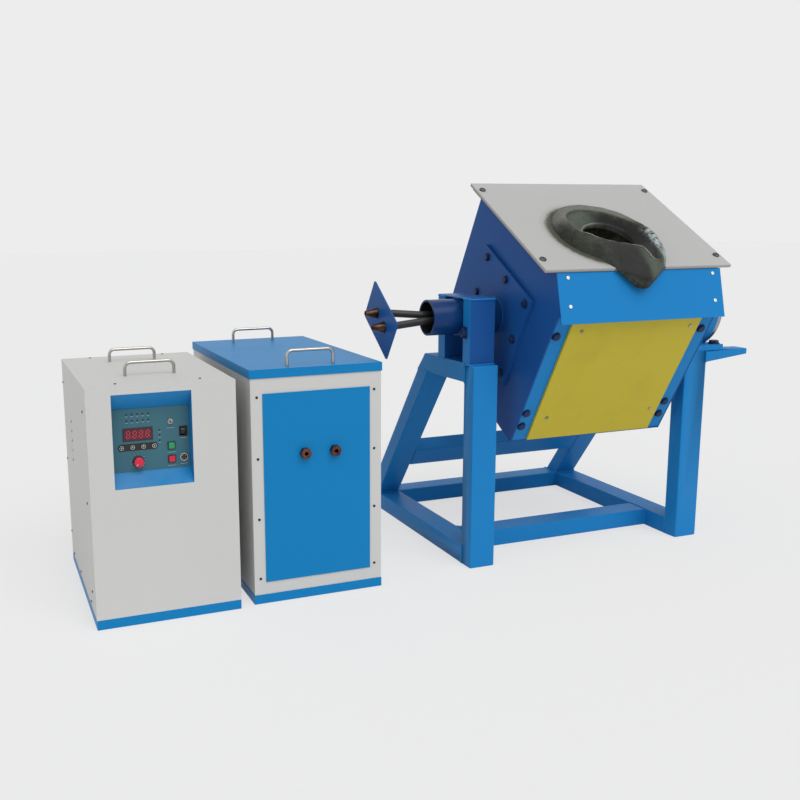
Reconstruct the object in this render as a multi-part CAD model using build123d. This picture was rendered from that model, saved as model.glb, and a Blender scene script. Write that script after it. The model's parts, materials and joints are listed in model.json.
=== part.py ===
from build123d import *
import os
from math import cos, radians, sin, tan

# Electric gold melting furnace of the induction kind: a power cabinet, a capacitor cabinet and a
# tilting crucible furnace in a welded tube frame. Millimetres, +X to the right, +Y to the back, +Z up.
# Each unit is drawn from its own front left bottom corner; the whole set is centred at the end.

# ---------------------------------------------------------------- shared sheet and fastener sizes
sheet = 1.5            # cabinet sheet steel
tray_sheet = 2.0       # folded base trays
base_height = 24.0     # blue base tray under each cabinet
screw_head_r = 3.2
screw_head_h = 1.8
screw_r = 1.6
screw_length = 7.0
screw_clearance = 0.2  # radial room around a screw's shank
handle_bar_r = 4.0
handle_span = 120.0    # between the two feet
handle_bend = 14.0
slip = 0.3             # gap around loose panels and pushed buttons
running = 0.05         # radial clearance of a shaft in its bore

# ---------------------------------------------------------------- power cabinet
psu_width = 350.0
psu_depth = 530.0
psu_height = 577.0
psu_side_return = 50.0      # front panel folded back along the sides
psu_top_return = 18.0       # and along the top
psu_tongue = 26.0           # joggled tongue under the cover
psu_handle_height = 37.0
psu_handle_rows = (155.0, 418.0)

recess_left = 57.0
recess_right = 243.0
recess_bottom = 336.0
recess_top = 559.0
recess_depth = 38.0
plate_bottom = 366.0
plate_top = 518.0
plate_thickness = 2.0

display_centre = (120.5, 456.0)
display_size = (66.0, 27.0)
key_first_x = 81.5
key_pitch = 25.5
key_z = 425.5
key_r = 5.2
key_travel = 1.2
knob_centre = (119.0, 390.5)
knob_r = 13.5
knob_depth = 17.0
knob_shaft_r = 3.0
button_size = 14.6
button_travel = 3.0
start_centre = (199.0, 422.0)
stop_centre = (199.0, 389.5)
toggle_centre = (198.0, 481.0)
toggle_swing = 14.0
toggle_bush_r = 4.6
toggle_bore_r = 3.1
toggle_ball_r = toggle_bore_r - slip
rocker_centre = (228.0, 455.0)
rocker_size = (20.0, 25.0)
rocker_swing = 8.0
rocker_r = 11.0
switch_depth = 14.0
socket_centre = (228.0, 391.5)
socket_r = 10.0
lamp_r = 2.0
lamp_rows = (504.0, 489.0)
lamp_first_x = 96.0
lamp_pitch = 12.6
status_lamp_x = 171.5
status_lamp_z = (462.0, 449.5, 437.0)

louvre_count = 5
louvre_first_z = 332.0
louvre_pitch = 25.5
louvre_length = 64.0
louvre_slot = 6.0
louvre_y = 372.0
louvre_out = 3.5

fan_centre = (175.0, 420.0)
fan_size = 120.0
fan_depth = 38.0
fan_bore_r = 57.0
fan_blade_r = 55.5
fan_hub_r = 21.0
fan_pin_r = 3.0
fan_blades = 7

# ---------------------------------------------------------------- capacitor cabinet
cap_gap = 37.0          # between the two cabinets
cap_setback = 9.0       # its front stands this far behind the power cabinet's
cap_width = 346.0
cap_depth = 610.0
cap_height = 595.0
lid_height = 22.0
lid_overhang = 1.0
cap_panel_size = (282.0, 479.0)
cap_panel_centre = (172.0, 295.5)
cap_panel_thickness = 2.5
cap_screw_x = (17.0, 325.5)
cap_screw_z = (66.0, 220.0, 373.5, 527.0)
cap_handle_centre_x = 163.0
cap_handle_height = 43.0
cap_handle_rows = (24.0, 530.0)
terminal_x = (137.0, 216.5)
terminal_z = 380.0
terminal_flats = 25.0
terminal_out = 15.0
terminal_bore_r = 5.0
terminal_shank_r = 8.0
transformer_front = 90.0
transformer_depth = 150.0
transformer_low = 300.0
transformer_size = (230.0, 160.0)
core_bar = 36.0

# ---------------------------------------------------------------- furnace frame, 75 x 50 tube
furnace_gap = 274.0     # from the capacitor cabinet to the frame
furnace_setback = 28.0
tube_width = 75.0
tube_height = 50.0
tube_wall = 3.0
frame_width = 774.0
frame_length = 705.0
frame_height = 563.0
leg_top_rear = 295.0    # rear edge of the leg at the top
leg_foot_rear = 695.0   # and where it lands on the side rail
front_rail_y = 141.0
brace_drop = 346.0      # from the top of the frame down to the rear brace's upper front edge

upright_depth = 40.0
pedestal_height = 175.0
pedestal_cap = 4.0
axis_y = 115.0          # tilting axis, along X
axis_z = 686.0
trunnion_r = 48.5
trunnion_wall = 5.0
trunnion_left = -83.0   # free end of the hollow trunnion
bearing_wall = 3.3
bearing_inset = 4.0
keeper_offset = (-64.0, -38.0)   # keeper bolt on the pedestal, forward of and below the tilting axis
keeper_size = (26.0, 32.0)
keeper_thickness = 4.0
keeper_bolt_r = 8.0

bracket_reach = 153.0
bracket_root = 34.0
bracket_tip = 17.0
bracket_depth = 50.0
bracket_rear_y = 180.0

# ---------------------------------------------------------------- tilting drive
gearbox_left = 704.0
gearbox_right = 820.0
gearbox_r = 120.0
gearbox_wall = 14.0
gear_cavity_r = 94.0
gear_web = 70.0
gear_foot = 16.0
gear_foot_left = 700.0
gear_foot_right = 838.0
gear_foot_front = 4.0
gear_foot_rear = 226.0
foot_bolt_inset = (17.0, 20.0)
foot_bolt_r = 8.0
worm_in = 68.0             # the worm wheel's middle, from the inner end of the case
worm_wheel_r = 70.0
worm_wheel_width = 34.0
worm_wheel_teeth = 40
worm_r = 14.0
worm_gap = 0.5
worm_shaft_r = 10.0
worm_length = 84.0
worm_thread_pitch = 11.0
worm_case_r = 26.0
worm_case_front = 20.0
worm_case_rear = 214.0
shaft_r = 25.0
handwheel_y = 300.0
handwheel_r = 80.0
handwheel_rim_r = 8.0
handwheel_spokes = 3
grip_orbit = 78.0
grip_r = 11.0
grip_length = 68.0
grip_pin_r = 4.0

# ---------------------------------------------------------------- tilting body, drawn upright about its axis
rest_tilt = 30.0        # the body stands tipped forward
body_left = 135.0
body_right = 639.0
body_front = -247.0
body_back = 248.0
body_bottom = -258.0
body_top = 257.0
side_plate = 5.0
chamfer_run = 68.0      # slanted front top edge: along the depth
chamfer_drop = 73.0     # and down the front
top_flange = 34.0       # side plates folded out under the top plate
top_plate_left = 97.0
top_plate_right = 677.0
top_plate_front = -186.0
top_plate_back = 260.0
top_plate_thickness = 8.0
top_plate_hole_r = 118.0
angle_width = 84.0
angle_thickness = 4.0
board_left = 183.0
board_right = 592.0
board_thickness = 6.0
board_top = 175.0
board_low = -249.0
board_screw_in = (36.5, 27.5)   # from its left and right edges
board_screw_w = (120.0, -171.0)
apron_sheet = 2.5
apron_lip = 36.0
apron_over = (1.5, 6.0)       # past the left and the right wall
apron_strip = (36.0, 14.0)    # mounting strips behind it: width and depth
apron_screw_x = (163.4, 617.4)
apron_screw_k = (0.19, 0.92)  # down the slanted edge, as shares of it
bottom_plate = 8.0
flange_size = 280.0
flange_thickness = 10.0
flange_bolt_reach = 115.0
bolt_head_r = 9.5
bolt_head_h = 7.5
bolt_r = 6.0
corner_bolt_x = (151.0, 611.0)
corner_bolt_w = (104.0, -153.0, -199.0)
cover_screw_r = 4.0
cover_head_r = 9.0
small_screw_r = 2.5
small_head_r = 5.0

# ---------------------------------------------------------------- crucible, lining and coil
brick_r = 148.0
brick_height = 60.0
crucible_r = 88.0
crucible_foot_r = 70.0
crucible_wall = 14.0
crucible_floor = 18.0
crucible_height = 390.0
lining_clearance = 0.4
lining_r = 130.0
lining_top = 250.0
coil_tube_r = 7.0
coil_pitch = 26.0
coil_turns = 11
coil_bottom = -150.0
pot_x = 376.0           # the crucible stands a little forward of the trunnions' line
pot_u = -36.0
rim_x = 362.0           # and the rammed mouth was shaped by hand round it
rim_u = -22.0
rim_foot_r = 151.0
rim_shoulder_r = 145.0
rim_crest_r = 117.0
mouth_x = 370.0         # middle of the opening between the crests
mouth_u = -36.0
mouth_r = 98.0
rim_throat_r = 78.0
rim_height = 40.0       # crest over the top plate at the spout
rim_back_height = 27.0  # and at the back
spout_reach = 54.0      # beyond the top plate's front edge
spout_drop = 36.0       # and below its upper face
spout_crest = 28.0
spout_foot_plan = [(222, -60), (246, -118), (303, -187), (345, -226), (374, -240),
                   (402, -230), (462, -187), (500, -128), (508, -60)]
spout_crest_plan = [(268, -60), (296, -104), (372, -122), (405, -150), (412, -188),
                    (434, -188), (458, -150), (476, -105), (480, -60)]
spout_lip_plan = [(303, -187.2), (345, -226), (374, -240), (402, -230), (462, -187.2)]
spout_end_plan = [(350, -211), (355, -226), (374, -232), (391, -226), (396, -211)]
channel_plan = [(352, -60), (376, -121), (405, -146), (412, -206),
                (430, -206), (446, -150), (462, -100), (462, -60)]
channel_floor = 14.0

# ---------------------------------------------------------------- leads and terminal plate
lead_r = 7.0
sleeve_r = 10.0
lead_drop_x = 190.0
lead_spread_tube = 12.5
lead_spread_plate = 28.5
lead_split_x = -92.0
lead_square_x = -204.0      # from here the leads run square to the plate
lead_bend = 30.0
terminal_plate_x = -220.0
terminal_plate_size = (180.0, 122.0)
terminal_plate_thickness = 4.0
terminal_plate_turn = 5.5     # the plate sits a little askew to the body
stud_base_r = 13.5
stud_tip_r = 7.5
stud_length = 33.0
stud_washer_r = 15.5
stud_washer = 2.0

TURN = {"X": Rot(0, 90, 0), "Y": Rot(-90, 0, 0), "Z": Rot(0, 0, 0)}
nodes = {}


# ================================================================ small drawing helpers
def block(x0, x1, y0, y1, z0, z1):
    """Box between two corners."""
    centre = Pos((x0 + x1) / 2, (y0 + y1) / 2, (z0 + z1) / 2)
    return centre * Box(x1 - x0, y1 - y0, z1 - z0)


def rod(axis, x, y, z, radius, length):
    """Round bar that starts at a point and runs along an axis."""
    bar = Cylinder(radius, length, align=(Align.CENTER, Align.CENTER, Align.MIN))
    return Pos(x, y, z) * TURN[axis] * bar


def cone(axis, x, y, z, radius, end_radius, length):
    """Round taper that starts at a point and runs along an axis."""
    taper = Cone(radius, end_radius, length, align=(Align.CENTER, Align.CENTER, Align.MIN))
    return Pos(x, y, z) * TURN[axis] * taper


def hexagon(axis, x, y, z, flats, height):
    """Hexagonal head that starts at a point and runs along an axis."""
    face = RegularPolygon(flats / 2, 6, major_radius=False)
    return Pos(x, y, z) * TURN[axis] * extrude(face, amount=height)


def side_prism(points, x0, x1):
    """Prism with its section drawn in (y, z), from x0 to x1."""
    outline = Wire.make_polygon([(x0, y, z) for y, z in points], close=True)
    return extrude(Face(outline), amount=x1 - x0, dir=(1, 0, 0))


def front_prism(points, y0, y1):
    """Prism with its section drawn in (x, z), from y0 to y1."""
    outline = Wire.make_polygon([(x, y0, z) for x, z in points], close=True)
    return extrude(Face(outline), amount=y1 - y0, dir=(0, 1, 0))


def revolve_profile(points):
    """Body of revolution about Z, with its half section drawn in (r, z)."""
    outline = Wire.make_polygon([(r, 0, z) for r, z in points], close=True)
    return revolve(Face(outline), axis=Axis.Z)


def along(start, end, count):
    """Evenly spaced values from start to end."""
    return [start + (end - start) * i / (count - 1) for i in range(count)]


def box_tube(x0, x1, y0, y1, z0, z1):
    """Closed rectangular tube."""
    wall = tube_wall
    return block(x0, x1, y0, y1, z0, z1) - block(x0 + wall, x1 - wall, y0 + wall, y1 - wall, z0 + wall, z1 - wall)


def handle(x, y, z, height):
    """U-shaped bar handle along X, standing on its two feet."""
    bar_z = z + height - handle_bar_r
    left = x - handle_span / 2
    right = x + handle_span / 2
    path = FilletPolyline((left, y, z), (left, y, bar_z), (right, y, bar_z), (right, y, z), radius=handle_bend)
    section = Plane(origin=(left, y, z), z_dir=(0, 0, 1)) * Circle(handle_bar_r)
    return sweep(section, path=path)


def screw(axis, x, y, z, sign):
    """Pan-head screw whose head stands on a surface; sign is the side of the axis that the head is on."""
    turn = {"X": Rot(0, 90 * sign, 0), "Y": Rot(-90 * sign, 0, 0), "Z": Rot(0 if sign > 0 else 180, 0, 0)}[axis]
    head = Cylinder(screw_head_r, screw_head_h, align=(Align.CENTER, Align.CENTER, Align.MIN))
    head = fillet(head.edges().group_by(Axis.Z)[-1], radius=screw_head_h * 0.6)
    shank = Pos(0, 0, -screw_length) * Cylinder(screw_r, screw_length, align=(Align.CENTER, Align.CENTER, Align.MIN))
    return Pos(x, y, z) * turn * (head + shank)


def screw_hole(axis, x, y, z):
    """Clearance hole for a screw, drilled both ways from its surface."""
    depth = 3 * screw_length
    start = {"X": (x - depth / 2, y, z), "Y": (x, y - depth / 2, z), "Z": (x, y, z - depth / 2)}[axis]
    return rod(axis, *start, screw_r + screw_clearance, depth)


def hex_bolt(axis, x, y, z, sign, grip):
    """Hexagon bolt with its head on the side that sign gives, and its shank through the grip."""
    head_start = (x, y, z) if sign > 0 else {"X": (x - bolt_head_h, y, z), "Y": (x, y - bolt_head_h, z)}[axis]
    shank_start = {"X": (x - grip, y, z), "Y": (x, y - grip, z)}[axis] if sign > 0 else (x, y, z)
    head = hexagon(axis, *head_start, 2 * bolt_head_r, bolt_head_h)
    return head + rod(axis, *shank_start, bolt_r, grip)


# ================================================================ power cabinet
psu_side_screws = ([(64.0, z) for z in (74.0, 294.0, 514.0)]
                   + [(psu_depth - 14.0, z) for z in (89.0, 300.0, 515.0)]
                   + [(y, base_height + 12.0) for y in (100.0, psu_depth * 0.6, psu_depth - 60.0)])
psu_top_screws = [(x, y) for x in (75.0, psu_width - 75.0) for y in (46.0, psu_depth - 14.0)]
inner = 2 * sheet
key_centres = [(key_first_x + i * key_pitch, key_z) for i in range(4)]
lamp_centres = [(lamp_first_x + i * lamp_pitch, z) for z in lamp_rows for i in range(5)]
lamp_centres += [(status_lamp_x, z) for z in status_lamp_z]
plate_front = recess_depth
plate_rear = recess_depth + plate_thickness
toggle_pivot_y = plate_front - 3.0
rocker_pivot_y = plate_front + 6.0


def psu_holes():
    """Every screw hole of the power cabinet's skin."""
    holes = [screw_hole("Z", x, y, psu_height) for x, y in psu_top_screws]
    for y, z in psu_side_screws:
        holes.append(screw_hole("X", 0, y, z))
        holes.append(screw_hole("X", psu_width, y, z))
    return holes


def psu_base_tray():
    t = tray_sheet
    tray = block(0, psu_width, 0, psu_depth, 0, base_height)
    tray -= block(t, psu_width - t, t, psu_depth - t, t, base_height + 1)
    upstand_top = base_height + 28.0
    for x in (sheet, psu_width - sheet - t):
        tray += block(x, x + t, psu_side_return + 30, psu_depth - 30, t / 2, upstand_top)
    return tray - psu_holes()


def psu_front_panel():
    w, h, t = psu_width, psu_height, sheet
    panel = block(0, w, 0, t, base_height, h)
    for x in (0, w - t):
        panel += block(x, x + t, 0, psu_side_return, base_height, h - t)
    for x in (0, w - inner):
        panel += block(x, x + inner, psu_side_return - t, psu_side_return, base_height, h - inner)
    for x in (t, w - inner):
        panel += block(x, x + t, psu_side_return - t, psu_side_return + psu_tongue, base_height, h - inner)
    panel += block(0, w, 0, psu_top_return, h - t, h)
    panel += block(inner, w - inner, psu_top_return - t, psu_top_return, h - inner, h)
    tongue_end = psu_top_return + psu_tongue + 14.0
    panel += block(inner + 1, w - inner - 1, psu_top_return - t, tongue_end, h - inner, h - t)
    panel -= block(recess_left, recess_right, -1, t + 1, recess_bottom, recess_top)
    return panel - psu_holes()


def psu_rear_panel():
    w, d, h, t = psu_width, psu_depth, psu_height, sheet
    panel = block(0, w, d - t, d, base_height, h)
    for x in (t, w - inner):
        panel += block(x, x + t, d - psu_tongue, d - t, base_height + 30, h - inner)
    panel += block(inner + 1, w - inner - 1, d - psu_tongue, d - t, h - inner, h - t)
    fx, fz = fan_centre
    grille_half = fan_bore_r * 0.9
    for z in along(fz - grille_half, fz + grille_half, 9):
        half = (fan_bore_r ** 2 - (z - fz) ** 2) ** 0.5
        panel -= block(fx - half, fx + half, d - t - 1, d + 1, z - 3, z + 3)
    for sx in (-1, 1):
        for sz in (-1, 1):
            panel -= screw_hole("Y", fx + sx * 52.5, d, fz + sz * 52.5)
    return panel - psu_holes()


def psu_cover():
    w, d, h, t = psu_width, psu_depth, psu_height, sheet
    cover = block(0, w, psu_top_return, d - t, h - t, h)
    for x in (0, w - t):
        cover += block(x, x + t, psu_side_return, d - t, base_height, h)
    y0 = louvre_y - louvre_length / 2
    y1 = louvre_y + louvre_length / 2
    for i in range(louvre_count):
        z = louvre_first_z + i * louvre_pitch
        for x, out in ((0, -1), (w, 1)):
            wall = (x, x - out * t)
            cover -= block(min(wall) - 1, max(wall) + 1, y0 + 2, y1 - 2, z, z + louvre_slot)
            hood = [(x, z + louvre_slot + 5), (x + out * louvre_out, z + 3), (x + out * louvre_out, z + 1),
                    (x + out * (louvre_out - 1.2), z + 1), (x, z + louvre_slot + 1)]
            cover += front_prism(hood, y0, y1)
    for y in psu_handle_rows:
        for x in (w / 2 - handle_span / 2, w / 2 + handle_span / 2):
            cover -= screw_hole("Z", x, y, h)
    return cover - psu_holes()


def psu_panel_recess():
    x0, x1, t = recess_left, recess_right, sheet
    outer = [(t, recess_bottom - t), (t, recess_top + t), (plate_rear + t, plate_top + t),
             (plate_rear + t, plate_bottom - t)]
    void = [(-1, recess_bottom - 1), (-1, recess_top + 1), (plate_front, plate_top), (plate_rear, plate_top),
            (plate_rear, plate_bottom), (plate_front, plate_bottom)]
    pan = side_prism(outer, x0 - t, x1 + t)
    pan += block(x0 - 12, x1 + 12, t, inner, recess_bottom - 12, recess_top + 12)
    pan -= side_prism(void, x0, x1)
    window = block(x0 + 8, x1 - 4.5, plate_rear - 1, plate_rear + t + 1, plate_bottom + 9, plate_top - 9)
    return pan - window


def psu_control_plate():
    plate = block(recess_left + slip, recess_right - slip, plate_front, plate_rear,
                  plate_bottom + slip, plate_top - slip)
    y = plate_front - 1
    depth = plate_thickness + 2
    for x, z in key_centres:
        plate -= rod("Y", x, y, z, key_r + slip, depth)
    for x, z in lamp_centres:
        plate -= rod("Y", x, y, z, lamp_r, depth)
    plate -= rod("Y", knob_centre[0], y, knob_centre[1], knob_shaft_r + running, depth)
    plate -= rod("Y", toggle_centre[0], y, toggle_centre[1], toggle_bush_r, depth)
    plate -= rod("Y", socket_centre[0], y, socket_centre[1], socket_r - 2.5, depth)
    for (x, z), (w, h) in ((display_centre, display_size), (rocker_centre, (rocker_size[0] - 3, rocker_size[1] - 3))):
        plate -= block(x - w / 2, x + w / 2, y, y + depth, z - h / 2, z + h / 2)
    half = button_size / 2 + slip
    for x, z in (start_centre, stop_centre):
        plate -= block(x - half, x + half, y, y + depth, z - half, z + half)
    return plate


def psu_display():
    x, z = display_centre
    w, h = display_size
    body = block(x - w / 2, x + w / 2, plate_front, plate_rear + 6, z - h / 2, z + h / 2)
    body += block(x - w / 2 - 2, x + w / 2 + 2, plate_front - 1.4, plate_front, z - h / 2 - 2, z + h / 2 + 2)
    lamps = [rod("Y", lx, plate_front - 1.2, lz, lamp_r, plate_thickness + 5) for lx, lz in lamp_centres]
    return [body] + lamps


def psu_panel_fittings():
    """Bezels, bushes, switch shells and the round socket on the control plate."""
    fittings = []
    for x, z in key_centres:
        ring = rod("Y", x, plate_front - 2, z, key_r + slip + 2.0, 2)
        ring -= rod("Y", x, plate_front - 3, z, key_r + slip, 4)
        fittings.append(ring)
    inside = button_size / 2 + slip
    outside = inside + 1.6
    for x, z in (start_centre, stop_centre):
        bezel = block(x - outside, x + outside, plate_front - 2.5, plate_front, z - outside, z + outside)
        bezel -= block(x - inside, x + inside, plate_front - 3, plate_front + 1, z - inside, z + inside)
        fittings.append(bezel)
    x, z = toggle_centre
    bush = rod("Y", x, plate_front - 6, z, toggle_bush_r, 6 + switch_depth)
    bush += hexagon("Y", x, plate_front - 2.5, z, 2 * toggle_bush_r + 3, 2.5)
    bush -= rod("Y", x, plate_front - 7, z, toggle_bore_r, 9)
    fittings.append(bush)
    x, z = rocker_centre
    w, h = rocker_size
    shell = block(x - w / 2, x + w / 2, plate_front - 1.6, plate_front, z - h / 2, z + h / 2)
    shell += block(x - w / 2 + 1.5, x + w / 2 - 1.5, plate_front, plate_front + 22, z - h / 2 + 1.5, z + h / 2 - 1.5)
    cavity = rod("X", x - w / 2 + 2.5, rocker_pivot_y, z, rocker_r + slip - 1.0, w - 5)
    cavity += block(x - w / 2 + 2.5, x + w / 2 - 2.5, plate_front - 2, rocker_pivot_y,
                    z - rocker_r + 1, z + rocker_r - 1)
    shell -= cavity
    for side in (-1, 1):
        shell += rod("X", x + side * (w / 2 - 2.5) - (1.5 if side > 0 else 0), rocker_pivot_y, z, 1.5, 1.5)
    fittings.append(shell)
    x, z = socket_centre
    ring = rod("Y", x, plate_front - 3, z, socket_r, 3) - rod("Y", x, plate_front - 4, z, socket_r - 2.5, 5)
    insert = rod("Y", x, plate_front - 1, z, socket_r - 2.5, switch_depth)
    for sx in (-1, 1):
        for sz in (-1, 1):
            insert += rod("Y", x + sx * 3.0, plate_front - 2.6, z + sz * 3.0, 0.9, 2.0)
    return fittings + [ring, insert]


def psu_control_board():
    """Board behind the plate, on four spacers, with the switch bodies that the keys press."""
    board_y = plate_rear + 12.0
    x0, x1 = recess_left + 10, rocker_centre[0] - rocker_size[0] / 2 - 3
    z0, z1 = plate_bottom + 12, plate_top - 12
    board = block(x0, x1, board_y, board_y + 1.6, z0, z1)
    board -= rod("Y", knob_centre[0], board_y - 1, knob_centre[1], knob_shaft_r + 3, 4)
    pieces = [board]
    for x in (x0 + 5, x1 - 4):
        for z in (z0 + 5, z1 - 4):
            pieces.append(rod("Y", x, plate_rear, z, 2.5, board_y - plate_rear))
    for x, z in key_centres:
        stop = plate_rear + 2 + key_travel + slip
        pieces.append(block(x - 6, x + 6, stop, board_y, z - 6, z + 6))
    for x, z in (start_centre, stop_centre):
        stop = plate_rear + 4 + button_travel + slip
        pieces.append(block(x - 7, x + 7, stop, board_y, z - 7, z + 7))
    return pieces


def psu_key(i):
    x, z = key_centres[i]
    cap = rod("Y", x, plate_front - 3.5, z, key_r, 5.5 + plate_thickness)
    return fillet(cap.edges().group_by(Axis.Y)[0], radius=0.8)


def psu_power_knob():
    x, z = knob_centre
    front = plate_front - slip - knob_depth
    knob = cone("Y", x, front, z, knob_r - 1.0, knob_r, knob_depth)
    knob = fillet(knob.edges().group_by(Axis.Y)[0], radius=1.5)
    return knob + rod("Y", x, plate_front - slip, z, knob_shaft_r, plate_thickness + 12)


def psu_square_button(centre):
    x, z = centre
    half = button_size / 2
    cap = block(x - half, x + half, plate_front - 5, plate_rear + 4, z - half, z + half)
    return fillet(cap.edges().group_by(Axis.Y)[0], radius=1.2)


def psu_mode_toggle():
    """Chromed lever on its ball, thrown up at rest."""
    x, z = toggle_centre
    lever = Sphere(toggle_ball_r) + Rot(90, 0, 0) * Cone(1.3, 2.3, 17, align=(Align.CENTER, Align.CENTER, Align.MIN))
    lever += Pos(0, -17, 0) * Sphere(2.3)
    return Pos(x, toggle_pivot_y, z) * Rot(-toggle_swing, 0, 0) * lever


def psu_rocker_switch():
    """Rocker with a shallow V face, pressed in at the bottom at rest."""
    x, z = rocker_centre
    half = rocker_size[0] / 2 - 2.5 - 1.5 - slip
    drum = rod("X", -half, 0, 0, rocker_r - 1.0, 2 * half)
    rise = 8.0 + rocker_r * tan(radians(rocker_swing))
    keep = side_prism([(-8.0, 0), (-rise, rocker_r), (2, rocker_r), (2, -rocker_r), (-rise, -rocker_r)], -half, half)
    rocker = drum & keep
    rocker += rod("X", -half, 0, 0, 4.0, 2 * half)
    rocker -= rod("X", -half - 1, 0, 0, 1.5 + running, 2 * half + 2)
    return Pos(x, rocker_pivot_y, z) * Rot(rocker_swing, 0, 0) * rocker


def psu_handles():
    return [handle(psu_width / 2, y, psu_height, psu_handle_height) for y in psu_handle_rows]


def psu_screws():
    screws = [screw("Z", x, y, psu_height, 1) for x, y in psu_top_screws]
    for y, z in psu_side_screws:
        screws.append(screw("X", 0, y, z, -1))
        screws.append(screw("X", psu_width, y, z, 1))
    for y in psu_handle_rows:
        for x in (psu_width / 2 - handle_span / 2, psu_width / 2 + handle_span / 2):
            screws.append(Pos(0, 0, -sheet) * screw_short(x, y))
    fx, fz = fan_centre
    for sx in (-1, 1):
        for sz in (-1, 1):
            screws.append(screw("Y", fx + sx * 52.5, psu_depth, fz + sz * 52.5, 1))
    return screws


def screw_short(x, y):
    """Handle screw with its head under the cover; the stub stays inside the cover's hole."""
    head = rod("Z", x, y, psu_height - screw_head_h, screw_head_r, screw_head_h)
    return head + rod("Z", x, y, psu_height, screw_r, sheet - 0.1)


def psu_inverter():
    """Water-cooled plate on legs, with three power modules."""
    x0, x1, y0, y1 = 60.0, psu_width - 60.0, 170.0, psu_depth - 110.0
    deck = base_height + 36.0
    plate = block(x0, x1, y0, y1, deck, deck + 18)
    for x in (x0 + 8, x1 - 22):
        for y in (y0 + 8, y1 - 22):
            plate += block(x, x + 14, y, y + 14, tray_sheet, deck)
    modules = []
    for y in along(y0 + 45, y1 - 45, 3):
        modules.append(block(x0 + 50, x1 - 50, y - 31, y + 31, deck + 18, deck + 48))
    return [plate] + modules


def psu_fan_frame():
    x, z = fan_centre
    half = fan_size / 2
    rear = psu_depth - sheet
    front = rear - fan_depth
    frame = block(x - half, x + half, front, rear, z - half, z + half)
    frame -= rod("Y", x, front - 1, z, fan_bore_r + 0.8, fan_depth + 2)
    motor = rod("Y", x, front, z, fan_hub_r - 1, 8)
    for turn in (0, 90):
        arm = Pos(x, front + 3, z) * Rot(0, turn, 0) * Box(2 * fan_bore_r + 4, 6, 6)
        frame += arm
    frame += motor
    frame += rod("Y", x, front, z, fan_pin_r, 28)
    for sx in (-1, 1):
        for sz in (-1, 1):
            frame -= screw_hole("Y", x + sx * 52.5, rear, z + sz * 52.5)
    return frame


def psu_fan_rotor():
    x, z = fan_centre
    front = psu_depth - sheet - fan_depth + 9.0
    depth = 24.0
    hub = rod("Y", 0, front, 0, fan_hub_r, depth)
    for i in range(fan_blades):
        span = fan_blade_r - fan_hub_r + 4
        blade = Pos(fan_hub_r - 4 + span / 2, front + depth / 2, 0) * Rot(38, 0, 0) * Box(span, 24, 2.2)
        hub += Rot(0, 360 / fan_blades * i, 0) * blade
    hub -= rod("Y", 0, front - 1, 0, fan_pin_r + running, depth + 2)
    return Pos(x, 0, z) * hub


# ================================================================ capacitor cabinet
def cap_base_tray():
    t = tray_sheet
    tray = block(0, cap_width, 0, cap_depth, 0, base_height)
    return tray - block(t, cap_width - t, t, cap_depth - t, t, base_height + 1)


def cap_shell():
    """Grey sheet wrapped round all four sides, with a framed opening behind the blue panel."""
    t = sheet
    top = cap_height - tray_sheet
    inset = tray_sheet - lid_overhang + slip
    x0, x1, y0, y1 = inset, cap_width - inset, inset, cap_depth - inset
    shell = block(x0, x1, y0, y1, base_height, top) - block(x0 + t, x1 - t, y0 + t, y1 - t, base_height - 1, top + 1)
    shell += block(x0, x1, y0, y1, base_height, base_height + t)
    shell -= block(x0 + 20, x1 - 20, y0 + 20, y1 - 20, base_height - 1, base_height + t + 1)
    cx, cz = cap_panel_centre
    half_w = cap_panel_size[0] / 2 - 8
    half_h = cap_panel_size[1] / 2 - 8
    shell -= block(cx - half_w, cx + half_w, y0 - 1, y0 + t + 1, cz - half_h, cz + half_h)
    for x in cap_screw_x:
        for z in cap_screw_z:
            shell -= screw_hole("Y", x, y0, z)
    return shell


def cap_front_panel():
    """Blue panel screwed over the opening, with the two terminals through it."""
    cx, cz = cap_panel_centre
    half_w = cap_panel_size[0] / 2
    half_h = cap_panel_size[1] / 2
    rear = tray_sheet - lid_overhang + slip
    panel = block(cx - half_w, cx + half_w, rear - cap_panel_thickness, rear, cz - half_h, cz + half_h)
    for x in terminal_x:
        panel -= rod("Y", x, rear - cap_panel_thickness - 1, terminal_z, terminal_shank_r, cap_panel_thickness + 2)
    return panel


def cap_lid():
    t = tray_sheet
    o = lid_overhang
    low = cap_height - lid_height
    lid = block(-o, cap_width + o, -o, cap_depth + o, low, cap_height)
    lid -= block(t - o, cap_width + o - t, t - o, cap_depth + o - t, low - 1, cap_height - t)
    for y in cap_handle_rows:
        for side in (-1, 1):
            lid -= screw_hole("Z", cap_handle_centre_x + side * handle_span / 2, y, cap_height)
    return fillet(lid.edges().group_by(Axis.Z)[-1], radius=1.2)


def cap_handles():
    return [handle(cap_handle_centre_x, y, cap_height, cap_handle_height) for y in cap_handle_rows]


def cap_screws():
    screws = []
    front = tray_sheet - lid_overhang + slip
    for x in cap_screw_x:
        for z in cap_screw_z:
            screws.append(screw("Y", x, front, z, -1))
    for y in cap_handle_rows:
        for side in (-1, 1):
            x = cap_handle_centre_x + side * handle_span / 2
            head = rod("Z", x, y, cap_height - tray_sheet - screw_head_h, screw_head_r, screw_head_h)
            screws.append(head + rod("Z", x, y, cap_height - tray_sheet, screw_r, tray_sheet - 0.1))
    return screws


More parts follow.
